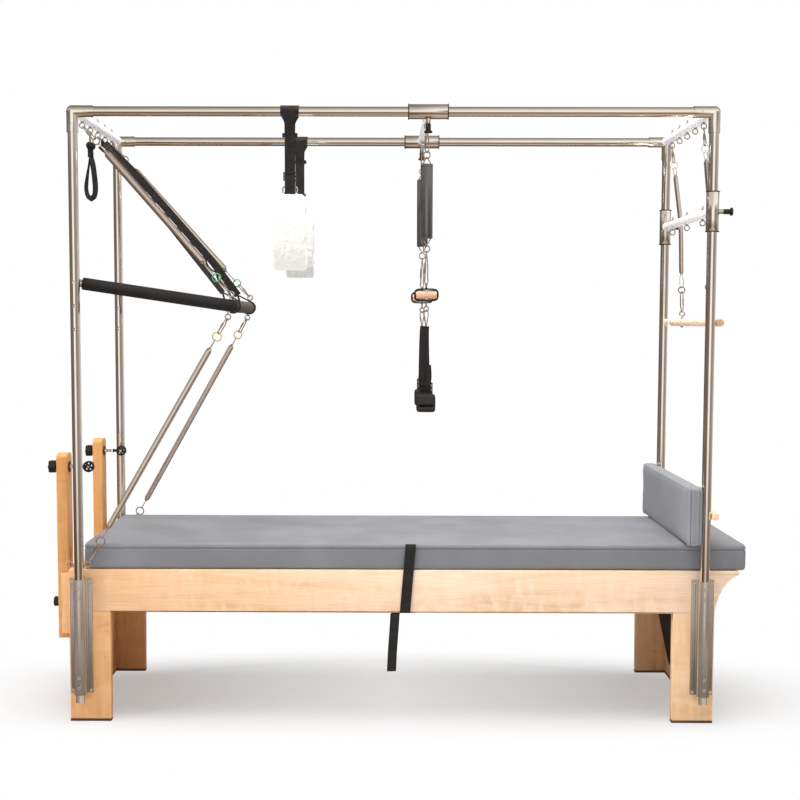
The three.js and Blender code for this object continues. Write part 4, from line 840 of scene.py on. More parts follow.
def strap(route, half, thickness, cells=4):
    """Webbing along a route. Half its width is a vector, or a function of the share of its length."""
    rows = len(route) - 1
    bpy.ops.object.select_all(action="DESELECT")
    bpy.ops.mesh.primitive_grid_add(x_subdivisions=cells, y_subdivisions=rows, size=1)
    piece = bpy.context.object
    lengths = [0]
    for a, b in zip(route, route[1:]):
        lengths.append(lengths[-1] + (b - a).length)
    halves = [Vector(half(run / lengths[-1])) if callable(half) else Vector(half) for run in lengths]
    cell_spots = [(v.co.x * 2, round((v.co.y + 0.5) * rows)) for v in piece.data.vertices]
    laid = piece.data.uv_layers.active.data
    for loop in piece.data.loops:
        across, row = cell_spots[loop.vertex_index]
        laid[loop.index].uv = (across * halves[row].length, lengths[row])
    for vertex, (across, row) in zip(piece.data.vertices, cell_spots):
        vertex.co = route[row] + halves[row] * across
    apply(piece, "SOLIDIFY", thickness=thickness, offset=0)
    round_edges(piece, thickness * 0.3, 1, 60)
    edit(piece)
    bpy.ops.mesh.select_all(action="SELECT")
    bpy.ops.mesh.normals_make_consistent(inside=False)
    done()
    return piece


def wire(points, radius, closed=False, sides=8, flowing=False):
    """Round rod bent through points, with its ends closed."""
    line = bpy.data.curves.new("wire", "CURVE")
    line.dimensions = "3D"
    line.bevel_depth = radius
    line.bevel_resolution = (sides - 4) // 2
    line.use_fill_caps = True
    if flowing:
        run = line.splines.new("BEZIER")
        run.bezier_points.add(len(points) - 1)
        for spot, point in zip(run.bezier_points, points):
            spot.co = point
            spot.handle_left_type = spot.handle_right_type = "AUTO"
        run.resolution_u = 5
    else:
        run = line.splines.new("POLY")
        run.points.add(len(points) - 1)
        for spot, point in zip(run.points, points):
            spot.co = (*point, 1)
    run.use_cyclic_u = closed
    piece = bpy.data.objects.new("wire", line)
    bpy.context.scene.collection.objects.link(piece)
    choose(piece)
    bpy.ops.object.convert(target="MESH")
    piece = bpy.context.object
    edit(piece)
    bpy.ops.mesh.select_all(action="SELECT")
    bpy.ops.mesh.remove_doubles(threshold=merge_within / 2)
    bpy.ops.mesh.normals_make_consistent(inside=False)
    done()
    return piece


def bent_link(points, corner, thick, sides=8):
    """A closed link of bent rod with round corners."""
    return wire(rounded(points, corner, closed=True), thick, closed=True, sides=sides)


rib_step, weft_step = 1.9 * mm, 1.4 * mm
# The second colour is the painted highlight on the crests of the weave.
black_webbing = woven("black_webbing", "161414", "363231")
strap_thick, strap_half, tail_half, tail_turn = 2.2 * mm, 17.5 * mm, 15.5 * mm, 2 * mm
strap_out, strap_top = mattress_high.y + 3.9 * mm, mattress_high.z + 3.2 * mm
strap_under = rail_underside - 2.5 * mm
strap_bend, strap_shoulder, strap_sag = 12 * mm, 60 * mm, 4 * mm
band = strap(rounded([
    (0.033, 0, strap_under), (0.029, -strap_out, strap_under), (0.048, -strap_out, strap_top - strap_sag),
    (0.048, -strap_out + strap_shoulder, strap_top), (0.046, strap_out - strap_shoulder, strap_top),
    (0.045, strap_out, strap_top - strap_sag), (0.038, strap_out, strap_under), (0.033, 0, strap_under),
], strap_bend), (strap_half, 0, 0), strap_thick)
tail = strap(smooth_route([
    (0.018, -0.25, strap_under - 3 * mm), (-0.002, -0.312, strap_under - 3 * mm),
    (-0.0045, -strap_out - mm, strap_under - 9 * mm), (-0.006, -strap_out - 2 * mm, 0.340),
    (-0.012, -strap_out + mm, 0.250), (-0.0155, -strap_out - mm, 0.177)], 40),
    (tail_half, tail_turn, 0), strap_thick)
complete(gather([band, tail]), "mattress_strap_webbing", "table", black_webbing,
         ["mattress_strap"])
buckle_middle = (0.034, -0.285, strap_under - 3.6 * mm)
buckle_rod, buckle_corner, buckle_wide = 2 * mm, 4 * mm, 48 * mm
hold = bent_link(spots(buckle_middle, (-24, -15, 0), (24, -15, 0), (24, 15, 0), (-24, 15, 0)),
                 buckle_corner, buckle_rod)
bar = add_cylinder(buckle_rod, buckle_wide, buckle_middle, "X", 10)
complete(gather([hold, bar]), "mattress_strap_buckle", "table", screw_steel)


# The push-through bar is a U of steel tube that turns on pins in the left uprights. Black foam covers its
# arms and both bends, and a grey ribbed grip its far side. Four eyes at the bends take the springs.
def moulded(name, code, roughness, depth=0.12, dark=0.8):
    """Moulded foam, rubber or plastic: slightly uneven in colour, with a fine pebbled skin."""
    finish, tree, shader, place = start_finish(name)
    colour = mottled(tree, noise(tree, place, 18.0, 3.0), 0.3, 0.7, code, dark)
    pebbles = noise(tree, place, 240.0, 2.0)
    surfaced(tree, shader, colour, about(tree, pebbles, roughness, 0.06), pebbles, depth, 0.5 * mm)
    return finish


bar_droop = math.radians(8.4)
bar_place = Matrix.Translation((left_x, 0, 1.480)) @ Matrix.Rotation(bar_droop, 4, "Y")
bar_reach, bar_half, bar_bend, bar_start = 515 * mm, 300 * mm, 30 * mm, -14 * mm
bar_radius, arm_pad_radius, grip_radius, grip_half = 12.5 * mm, 20.5 * mm, 22 * mm, 270 * mm
hub_radius, pin_radius, hub_gap = 13 * mm, 5 * mm, 0.4 * mm
bar_eye_x, bar_eye_z, bar_eye_radius, bar_eye_wire = 509 * mm, 38 * mm, 9 * mm, 2.4 * mm
stalk_radius, stalk_back, stalk_in, stalk_low = 3 * mm, 3 * mm, 6 * mm, 8 * mm
seat_radius, seat_top_radius, seat_tall, seat_z = 6 * mm, 5 * mm, 3 * mm, 22.5 * mm
pad_start, pad_end, foam_edge, grip_edge = 17 * mm, 271.5 * mm, 2.5 * mm, 2 * mm
rib_pitch, rib_half, ribs_each_way = 6, 1.5, 44
bends = []
for sy in (-1, 1):
    turn = [math.radians(a) for a in range(0, 91, 9)]
    bends.append([Vector((bar_reach - bar_bend + bar_bend * math.sin(a),
                          sy * (bar_half - bar_bend + bar_bend * math.cos(a)), 0)) for a in turn])
front_bend, rear_bend = bends
route = [Vector((bar_start, -bar_half, 0)), *front_bend, *reversed(rear_bend),
         Vector((bar_start, bar_half, 0))]
parts = [wire(route, bar_radius, sides=28)]
for sy in (-1, 1):
    hub_end = upright_y - tube_radius - hub_gap
    for radius, end, sides in ((hub_radius, hub_end, 32), (pin_radius, upright_y, 20)):
        parts.append(add_cylinder(radius, end - bar_half, (0, sy * (end + bar_half) / 2, 0), "Y", sides))
    for sz in (-1, 1):
        x, y = bar_eye_x, sy * bar_half
        parts.append(ring((x, y, sz * bar_eye_z), bar_eye_radius, bar_eye_wire))
        foot = Vector((x - stalk_back, sy * (bar_half - stalk_in), sz * stalk_low))
        head = Vector((x, y, sz * (bar_eye_z - bar_eye_radius)))
        parts.append(add_cylinder(stalk_radius, (head - foot).length, (head + foot) / 2, head - foot, 14))
        parts.append(add_cylinder(seat_radius, seat_tall, (x, y, sz * seat_z), "Z", 18, seat_top_radius))
steel_bar = gather(parts)
steel_bar.data.transform(bar_place)
complete(steel_bar, "push_bar_steel", "push_bar", steel, ["push_bar"])
black_foam = moulded("black_foam", "1f1d1d", 0.6)
grey_foam = moulded("grey_foam", "544d4a", 0.75, dark=0.7)
for side, sy, bend in (("front", -1, front_bend), ("rear", 1, rear_bend)):
    pad = wire([Vector((pad_start, sy * bar_half, 0)), *bend, Vector((bar_reach, sy * pad_end, 0))],
               arm_pad_radius, sides=40)
    round_edges(pad, foam_edge, 3, 60)
    pad.data.transform(bar_place)
    complete(pad, "push_bar_foam_" + side, "push_bar", black_foam, ["push_bar_pad_" + side])
grip = add_cylinder(grip_radius, grip_half * 2, (bar_reach, 0, 0), "Y", 40)
edit(grip)
for i in range(-ribs_each_way, ribs_each_way + 1):
    for edge in (-1, 1):
        bpy.ops.mesh.select_all(action="SELECT")
        cut = (0, (i * rib_pitch + edge * rib_half) * mm, 0)
        bpy.ops.mesh.bisect(plane_co=cut, plane_no=(0, 1, 0))
done()
for vertex in grip.data.vertices:
    y = vertex.co.y / mm
    off_rib = abs(y - rib_pitch * round(y / rib_pitch)) > rib_half - 0.1
    if off_rib and abs(y) < ribs_each_way * rib_pitch + 2:
        spoke = Vector((vertex.co.x - bar_reach, 0, vertex.co.z))
        vertex.co -= spoke.normalized() * (0.5 + 0.5 * (round(y / rib_half) % 4 == 2)) * mm
round_edges(grip, grip_edge, 3, 60)
grip.data.transform(bar_place)
complete(grip, "push_bar_grip_foam", "push_bar", grey_foam, ["push_bar_grip"])


# Four springs hold the bar: two short stout ones up to the left crossbar, and two long slim ones down to
# the eyes at the mattress. Each is close-wound steel with a snap hook and a ring at both ends. The rings
# at the bar carry a coloured coat that tells the strength.
def wound(length, radius, thick, pitch, sides=16):
    """A close-wound spring along Z from the origin, with its last turns drawn in."""
    bpy.ops.object.select_all(action="DESELECT")
    bpy.ops.mesh.primitive_circle_add(vertices=6, radius=thick, location=(radius, 0, 0),
                                      rotation=(math.radians(90), 0, 0))
    coil = bpy.context.object
    set_down(coil)
    turns = round(length / pitch)
    apply(coil, "SCREW", angle=2 * math.pi, screw_offset=length / turns, iterations=turns, steps=sides,
          render_steps=sides)
    edit(coil)
    bpy.ops.mesh.select_all(action="SELECT")
    bpy.ops.mesh.fill_holes(sides=0)
    bpy.ops.mesh.normals_make_consistent(inside=False)
    done()
    for vertex in coil.data.vertices:
        near = min(vertex.co.z, length - vertex.co.z) / (radius * 1.6)
        share = min(max(near, 0), 1)
        draw = 0.42 + 0.58 * share * share * (3 - 2 * share)
        vertex.co.x *= draw
        vertex.co.y *= draw
    return coil


def lay(piece, start, way):
    """Carries a piece made along Z from the origin to a start and a direction."""
    turn = Vector(way).to_track_quat("Z", "Y").to_matrix().to_4x4()
    piece.data.transform(Matrix.Translation(Vector(start)) @ turn)
    return piece


def snap_hook(top, bottom, twist, side=(0, 1, 0), half=8 * mm, thick=2 * mm):
    """A pear of bent rod with a sleeve that screws over its gap, turned on its way down."""
    top, bottom = Vector(top), Vector(bottom)
    down = bottom - top
    way = down.normalized()
    side = (Vector(side) - way * way.dot(Vector(side))).normalized()

    def spot(along, out):
        return top + down * along + (Matrix.Rotation(twist * along, 3, way) @ side) * half * out

    pear = [(0, 0), (0.05, 0.62), (0.2, 1), (0.45, 0.9), (0.75, 0.6), (0.95, 0.5), (1, 0), (0.95, -0.5),
            (0.75, -0.6), (0.45, -0.9), (0.2, -1), (0.05, -0.62)]
    body = wire([spot(*p) for p in pear], thick, closed=True, flowing=True)
    a, b = spot(0.36, -0.95), spot(0.66, -0.7)
    sleeve = add_cylinder(thick * 1.6, (b - a).length, (a + b) / 2, b - a, 12)
    round_edges(sleeve, thick * 0.3, 1)
    return [body, sleeve]


def end_loop(start, finish, side, thick):
    """The last turn of a spring, bent up into a loop."""
    start, finish = Vector(start), Vector(finish)
    way = finish - start
    side = (Vector(side) - way.normalized() * way.normalized().dot(Vector(side))).normalized()
    shape = [(0, 0.15), (0.25, 0.8), (0.6, 1), (0.92, 0.6), (1, 0), (0.92, -0.6), (0.6, -1), (0.25, -0.8),
             (0, -0.15)]
    return wire([start + way * t + side * end_loop_half * s for t, s in shape], thick, closed=True,
                flowing=True)


spring_steel = metal("spring_steel", "f2e9e3", 0.12, grain=(200.0, 200.0, 200.0))
hook_steel = metal("hook_steel", "d3c8ba", 0.22, grain=(200.0, 200.0, 200.0))
green_coat = moulded("green_coat", "449e68", 0.35, dark=0.85)
yellow_coat = moulded("yellow_coat", "d3b25c", 0.35, dark=0.85)
link_inside, hook_length, low_hook_length, hook_twist = 4.6 * mm, 60 * mm, 74 * mm, 1.2
ring_wire, end_ring = 2.2 * mm, 11.4 * mm
green_ring, yellow_ring, low_ring_radius = 13.4 * mm, 14.8 * mm, 14.6 * mm
end_loop_half, coil_tuck, ring_lap, coil_start = 6.5 * mm, 2 * mm, 4 * mm, 112 * mm
upper_long, upper_radius, upper_wire = 510 * mm, 10.6 * mm, 1.5 * mm
lower_long, lower_radius, lower_wire = 700 * mm, 8.7 * mm, 1.3 * mm
wires_to_a_turn = 1.3


def hung_spring(name, top, foot, coil_length, radius, thick, top_ring, foot_ring, coat, coated, foot_hook):
    """A spring from eye to eye, with its hooks, rings and end loops, for one bend with the bar.
    The ring at the end named by coated carries the coat."""
    top, foot = Vector(top), Vector(foot)
    way = (foot - top).normalized()
    a, b = top + way * link_inside, foot - way * link_inside
    reach = (b - a).length

    def place(distance):
        return a + way * distance

    ring_a, ring_b = hook_length - ring_lap + top_ring, reach - foot_hook + ring_lap - foot_ring
    coil_end = coil_start + coil_length
    coil = [
        lay(wound(coil_length, radius, thick, thick * wires_to_a_turn), place(coil_start), way),
        end_loop(place(coil_start + coil_tuck), place(ring_a + top_ring - ring_lap), (0, 1, 0), thick),
        end_loop(place(coil_end - coil_tuck), place(ring_b - foot_ring + ring_lap), (0, 1, 0), thick),
    ]
    links = [
        *snap_hook(place(0), place(hook_length), hook_twist),
        *snap_hook(place(reach), place(reach - foot_hook), hook_twist),
    ]
    bend = (top, foot) if foot.x > top.x else (foot, top)
    for end, distance, size in (("top", ring_a, top_ring), ("foot", ring_b, foot_ring)):
        if end == coated:
            complete(ring(place(distance), size, ring_wire), name + "_coated_ring", bend, coat)
        else:
            links.append(ring(place(distance), size, ring_wire))
    complete(gather(links), name + "_hooks", bend, hook_steel)
    complete(gather(coil), name + "_coil", bend, spring_steel, [name])


def on_bar(x, y, z):
    return bar_place @ Vector((x, y, z))


crossbar_x = left_x + crossbar_inset
cross_eye_z = rail_z - crossbar_radius - eye_drop
spring_y = eye_pitch * 2
for side, sy in both_sides:
    hung_spring("push_spring_upper_" + side, (crossbar_x, sy * spring_y, cross_eye_z),
                on_bar(bar_eye_x, sy * bar_half, bar_eye_z), upper_long, upper_radius, upper_wire,
                end_ring, green_ring, green_coat, "foot", hook_length)
    hung_spring("push_spring_lower_" + side, on_bar(bar_eye_x, sy * bar_half, -bar_eye_z),
                (left_x + ankle_eye_out, sy * upright_y, ankle_eye_height), lower_long, lower_radius,
                lower_wire, yellow_ring, low_ring_radius, yellow_coat, "top", low_hook_length)

# Two slotted safety straps keep the bar from falling. Each is a pair of black webbings, sewn together
# every hand's width so that they stand open in between. They hang on one hook and end in a loop of
# webbing round the grip.
slot_pitch, slot_gap, slot_start, pair_apart = 70 * mm, 13 * mm, 20 * mm, 10.5 * mm
front_half, rear_half, daisy_thick, daisy_rows = 9.5 * mm, 14 * mm, 1.8 * mm, 132
rear_lift, inner_back, fork_back, grip_side = 12 * mm, 3 * mm, 62 * mm, 240 * mm
grip_loop_thick, grip_loop_gap = 4.5 * mm, 2 * mm
knot_drop, knot_thick, knot_hook_half = 34 * mm, 4 * mm, 7 * mm
daisy_eye = Vector((crossbar_x, 0, cross_eye_z))
grip_middle = on_bar(bar_reach, 0, 0)
bar_y = Vector((0, 1, 0))
knot = daisy_eye + (grip_middle - daisy_eye).normalized() * knot_drop
pieces = [wire(spots(knot, (-6, -9, -6), (-6, -3, 6), (-6, 8, 7), (-6, 10, -2), (-6, 2, -9), (-6, -8, -2),
                     (-6, -4, 9), (-6, 6, 3), (-6, 7, -8)), knot_thick, sides=10, flowing=True)]
for sy, daisy_half in ((-1, front_half), (1, rear_half)):
    centre = on_bar(bar_reach, sy * grip_side, 0)
    down = (centre - knot).normalized()
    flat = down.cross(bar_y).normalized()
    fork = centre - down * fork_back
    reach = (fork - knot).length
    face = (flat * 0.94 + bar_y * 0.34) * daisy_half
    edge_on = (flat * 0.16 + bar_y * 0.98) * daisy_half
    outer, inner = [], []
    for i in range(daisy_rows + 1):
        run = reach * i / daisy_rows
        open_share = abs(math.sin(math.pi * (run + slot_start) / slot_pitch)) ** 0.8
        lift = flat * rear_lift * min(1, 1.5 * math.sin(math.pi * i / daisy_rows)) * (sy > 0)
        outer.append(knot + down * run + lift)
        inner.append(outer[-1] - flat * (pair_apart + slot_gap * open_share) - bar_y * inner_back)
    pieces.append(strap(outer, face, daisy_thick, 2))
    if sy > 0:
        pieces.append(strap(inner, edge_on, daisy_thick, 2))
    out = grip_radius + grip_loop_gap
    loop = [centre + (flat * math.sin(angle) - down * math.cos(angle)) * out
            for angle in [math.radians(60 + 10 * i) for i in range(25)]]
    loop = [fork - flat * mm, *reversed(loop), fork + flat * mm]
    pieces.append(strap(loop, bar_y * daisy_half * 0.95, grip_loop_thick, 2))
complete(gather(pieces), "safety_strap_webbing", (daisy_eye, grip_middle), black_webbing,
         ["safety_straps"])
hook = snap_hook(daisy_eye - Vector((0, 0, link_inside)), knot + Vector((0, 0, knot_thick)), 0,
                 half=knot_hook_half)
complete(gather(hook), "safety_strap_hook", (daisy_eye, grip_middle), hook_steel)


# Two sliders: the end one on the right uprights, the top one on the rails. Each has two steel sleeves with
# black plastic rims, a pale crossbar with eyes, and a spring plunger in a boss with a black pull knob.
black_plastic = moulded("black_plastic", "1f1e1f", 0.38, dark=0.75)
sleeve_half, sleeve_gap, sleeve_edge = 66 * mm, 0.4 * mm, 0.4 * mm
rim_wide, rim_out, rim_edge = 3 * mm, 2 * mm, 0.7 * mm
boss_radius, boss_long, boss_middle, boss_out, boss_edge = 7.5 * mm, 16 * mm, 6 * mm, 14 * mm, 1.4 * mm
neck_radius, neck_length, neck_gap, neck_edge = 8.6 * mm, 22 * mm, 1.2 * mm, 1 * mm
flange_radius, flange_length, flange_edge = 13.4 * mm, 7 * mm, 2.2 * mm
stem_radius, stem_long, stem_sunk = 3 * mm, 20 * mm, 6 * mm


def sleeve(name, centre, along, radius, body, finish):
    """A sleeve on a tube, and its two rims."""
    way = Vector(along)
    rims = []
    for middle, out, wide, edge in (
        (Vector(centre), radius, sleeve_half * 2 - rim_wide * 2, sleeve_edge),
        (Vector(centre) - way * (sleeve_half - rim_wide / 2), radius + rim_out, rim_wide, rim_edge),
        (Vector(centre) + way * (sleeve_half - rim_wide / 2), radius + rim_out, rim_wide, rim_edge),
    ):
        part = add_cylinder(out, wide, middle, way, 56)
        bore = add_cylinder(tube_radius + sleeve_gap, sleeve_half * 3, middle, way, 56)
        combine(part, bore, "DIFFERENCE")
        round_edges(part, edge, 2, 50)
        rims.append(part)
    complete(rims.pop(0), name + "_sleeve", body, finish, [body])
    complete(gather(rims), name + "_rims", body, black_plastic)


def plunger(name, centre, out, radius, carrier):
    """The boss on a sleeve and the pull knob in it."""
    way, centre = Vector(out), Vector(centre)
    boss = add_cylinder(boss_radius, boss_long, centre + way * (radius + boss_middle), way, 32)
    round_edges(boss, boss_edge, 3, 50)
    complete(boss, name + "_boss", carrier, screw_steel)
    start = radius + boss_out + neck_gap
    knob = add_cylinder(neck_radius, neck_length, centre + way * (start + neck_length / 2), way, 40)
    flange_at = start + neck_length + flange_length / 2
    flange = add_cylinder(flange_radius, flange_length, centre + way * flange_at, way, 40)
    round_edges(flange, flange_edge, 4, 50)
    round_edges(knob, neck_edge, 2, 50)
    stem = add_cylinder(stem_radius, stem_long, centre + way * (radius + boss_out - stem_sunk), way, 16)
    complete(gather([knob, flange]), name + "_knob", name, black_plastic, [name])
    complete(stem, name + "_stem", name, screw_steel)


end_slider_box, top_slider_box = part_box("end_slider"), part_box("top_slider")
end_slider_z = (end_slider_box[0].z + end_slider_box[1].z) / 2
top_slider_x = (top_slider_box[0].x + top_slider_box[1].x) / 2
end_sleeve, top_sleeve = 21 * mm, 24 * mm
slider_eye_y, string_y = 220 * mm, 230 * mm
for side, sy in both_sides:
    corner = (right_x, sy * upright_y, end_slider_z)
    sleeve("end_slider_" + side, corner, (0, 0, 1), end_sleeve, "end_slider", steel)
    plunger("end_plunger_" + side, corner, (1, 0, 0), end_sleeve, "end_slider")
    corner = (top_slider_x, sy * upright_y, rail_z)
    sleeve("top_slider_" + side, corner, (1, 0, 0), top_sleeve, "top_slider", steel_along)
    plunger("top_plunger_" + side, corner, (0, 0, -1), top_sleeve, "top_slider")
for body, x, z, radius, eyes in (
    ("end_slider", right_x, end_slider_z, end_sleeve, (-slider_eye_y, 0, slider_eye_y)),
    ("top_slider", top_slider_x, rail_z, top_sleeve, (-string_y, string_y)),
):
    bar = crossbar(x, z, upright_y - radius + 2 * mm, 8 * mm)
    complete(bar, body + "_crossbar", body, pale_aluminium, [body])
    complete(eyebolts(x, z, eyes), body + "_eyes", body, screw_steel)

# The roll-down bar is a round bar of pale maple with two steel eyes. It hangs at the right end on two slim
# springs that lean on the outside of the end slider.
roll_low, roll_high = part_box("roll_down_bar")
roll_radius, roll_edge = 13.5 * mm, 3 * mm
roll_x, roll_z = (roll_low.x + roll_high.x) / 2, roll_low.z + roll_radius
roll_eye_y, roll_eye_z, roll_eye_radius, roll_eye_wire = 190 * mm, roll_z + 32.5 * mm, 8.8 * mm, 2.3 * mm
pale_wood = maple("roll_bar_maple", 1, pale="f3ddc8", middle="eccfb4", dark="dcb390")
roll_bar = add_cylinder(roll_radius, roll_high.y - roll_low.y, (roll_x, 0, roll_z), "Y", 48)
round_edges(roll_bar, roll_edge, 4, 50)
complete(roll_bar, "roll_down_bar_wood", "roll_bar", pale_wood, ["roll_down_bar"])
end_grain = maple("bar_end_grain", 0, pale="e9b98c", middle="dca26f", dark="c98a57")
end_radius, end_thick, end_out, end_edge = 10.4 * mm, mm, 0.1 * mm, 0.4 * mm
shank_radius, shank_long = 2.6 * mm, 16 * mm
caps, fittings = [], []
for sy in (-1, 1):
    cap = add_cylinder(end_radius, end_thick, (roll_x, sy * (roll_high.y + end_out), roll_z), "Y", 40)
    round_edges(cap, end_edge, 1, 50)
    caps.append(cap)
    y = sy * roll_eye_y
    fittings += [
        ring((roll_x, y, roll_eye_z), roll_eye_radius, roll_eye_wire),
        add_cylinder(shank_radius, shank_long, (roll_x, y, roll_eye_z - shank_long), "Z", 14),
        add_cylinder(6 * mm, 1.6 * mm, (roll_x, y, roll_z + roll_radius + 0.4 * mm), "Z", 24),
        add_cylinder(5.5 * mm, 5 * mm, (roll_x, y, roll_z - roll_radius - 2 * mm), "Z", 6),
        add_cylinder(3 * mm, 3 * mm, (roll_x, sy * (roll_high.y + 0.8 * mm), roll_z), "Y", 16),
    ]
complete(gather(caps), "roll_down_bar_ends", "roll_bar", end_grain)
complete(gather(fittings), "roll_down_bar_eyes", "roll_bar", screw_steel)
cream_coat = moulded("cream_coat", "ded2b4", 0.35, dark=0.85)
right_crossbar_x = right_x - crossbar_inset
arm_start, arm_long, arm_radius, arm_wire, arm_pitch = 104 * mm, 372 * mm, 7.4 * mm, 1.2 * mm, 2.1 * mm
arm_ring, arm_low_hook, arm_loop_wire, arm_lean, line_steps = 12.8 * mm, 76 * mm, 1.3 * mm, 26.5 * mm, 80
for side, sy in both_sides:
    top = Vector((right_crossbar_x, sy * spring_y, cross_eye_z))
    touch = Vector((right_x + arm_lean, sy * (spring_y + roll_eye_y) / 2, end_slider_z))
    foot = Vector((roll_x, sy * roll_eye_y, roll_eye_z))
    a, b = top + (touch - top).normalized() * link_inside, foot - (foot - touch).normalized() * link_inside
    line = smooth_route([a, a.lerp(touch, 0.5), touch, touch.lerp(b, 0.5), b], line_steps)
    runs = [0]
    for p, q in zip(line, line[1:]):
        runs.append(runs[-1] + (q - p).length)

    def place(distance):
        """The point on the spring's line at a distance from its top."""
        k = max(i for i in range(line_steps) if runs[i] <= distance)
        return line[k].lerp(line[k + 1], (distance - runs[k]) / (runs[k + 1] - runs[k]))

    coil = wound(arm_long, arm_radius, arm_wire, arm_pitch)
    for vertex in coil.data.vertices:
        middle = place(arm_start + min(max(vertex.co.z, 0), arm_long))
        vertex.co = Vector((vertex.co.x + middle.x, vertex.co.y + middle.y, middle.z))
    low_hook = runs[-1] - arm_low_hook
    ring_a, ring_b = hook_length - ring_lap + arm_ring, low_hook + ring_lap - end_ring
    pieces = [
        coil,
        end_loop(place(arm_start + coil_tuck), place(ring_a + 9 * mm), (1, 0, 0), arm_loop_wire),
        end_loop(place(arm_start + arm_long - coil_tuck), place(ring_b - end_ring + ring_lap), (1, 0, 0),
                 arm_loop_wire),
    ]
    complete(gather(pieces), "arm_spring_%s_coil" % side, "roll_bar", spring_steel,
             ["arm_spring_" + side])
    coated = ring(place(ring_a), arm_ring, ring_wire, (0.35, 1, 0))
    complete(coated, "arm_spring_%s_coated_ring" % side, "roll_bar", cream_coat)
    links = [
        *snap_hook(place(0), place(hook_length), hook_twist),
        ring(place(ring_b), end_ring, ring_wire, (0.2, 1, 0)),
        *snap_hook(b, place(low_hook), hook_twist),
    ]
    complete(gather(links), "arm_spring_%s_hooks" % side, "roll_bar", hook_steel)


# Two fleece loops hang from the rails. A wide black strap is looped over the rail and sewn, then narrows
# to a ladder buckle and a D ring, which the white lambswool loop hangs on.
def ladder_buckle(x, y, low, high, half, thick):
    """A moulded frame with three bars that the webbing winds through."""
    bars = []
    for sx in (-1, 1):
        inner = x + sx * (half - buckle_side)
        bars.append(add_block((inner, y - thick, low), (x + sx * half, y + thick, high)))
    reach = half - buckle_side / 2
    for share in (0, 0.5, 1):
        z = low + (high - low - buckle_bar) * share
        bars.append(add_block((x - reach, y - thick, z), (x + reach, y + thick, z + buckle_bar)))
    piece = gather(bars)
    apply(piece, "REMESH", mode="VOXEL", voxel_size=0.9 * mm)
    apply(piece, "SMOOTH", iterations=3, factor=0.5)
    return piece


def tufted(name, code, shade, through):
    """Lambswool: soft curls with painted shade, a grey, in their hollows, and a painted glow that lightens
    all the wool.
    """
    finish, tree, shader, place = start_finish(name)
    curls = node(tree, "TexVoronoi", {"Vector": place, "Scale": 150.0}, feature="SMOOTH_F1")
    curls, hair = curls.outputs["Distance"], noise(tree, place, 420.0, 4.0, Distortion=1.5)
    # Painted shade: the hollows between the curls are coloured grey.
    colour = ramp(tree, curls, (0.25, code), (0.9, shade))
    shader.inputs["Sheen Weight"].default_value = 0.4
    # Painted light: the wool glows a little all over, though it is no lamp.
    shader.inputs["Emission Color"].default_value = white
    shader.inputs["Emission Strength"].default_value = through
    height = maths(tree, "SUBTRACT", hair, curls)
    surfaced(tree, shader, colour, span(tree, hair, -3.0, 0.6), height, 0.3, 1.2 * mm)
    return finish


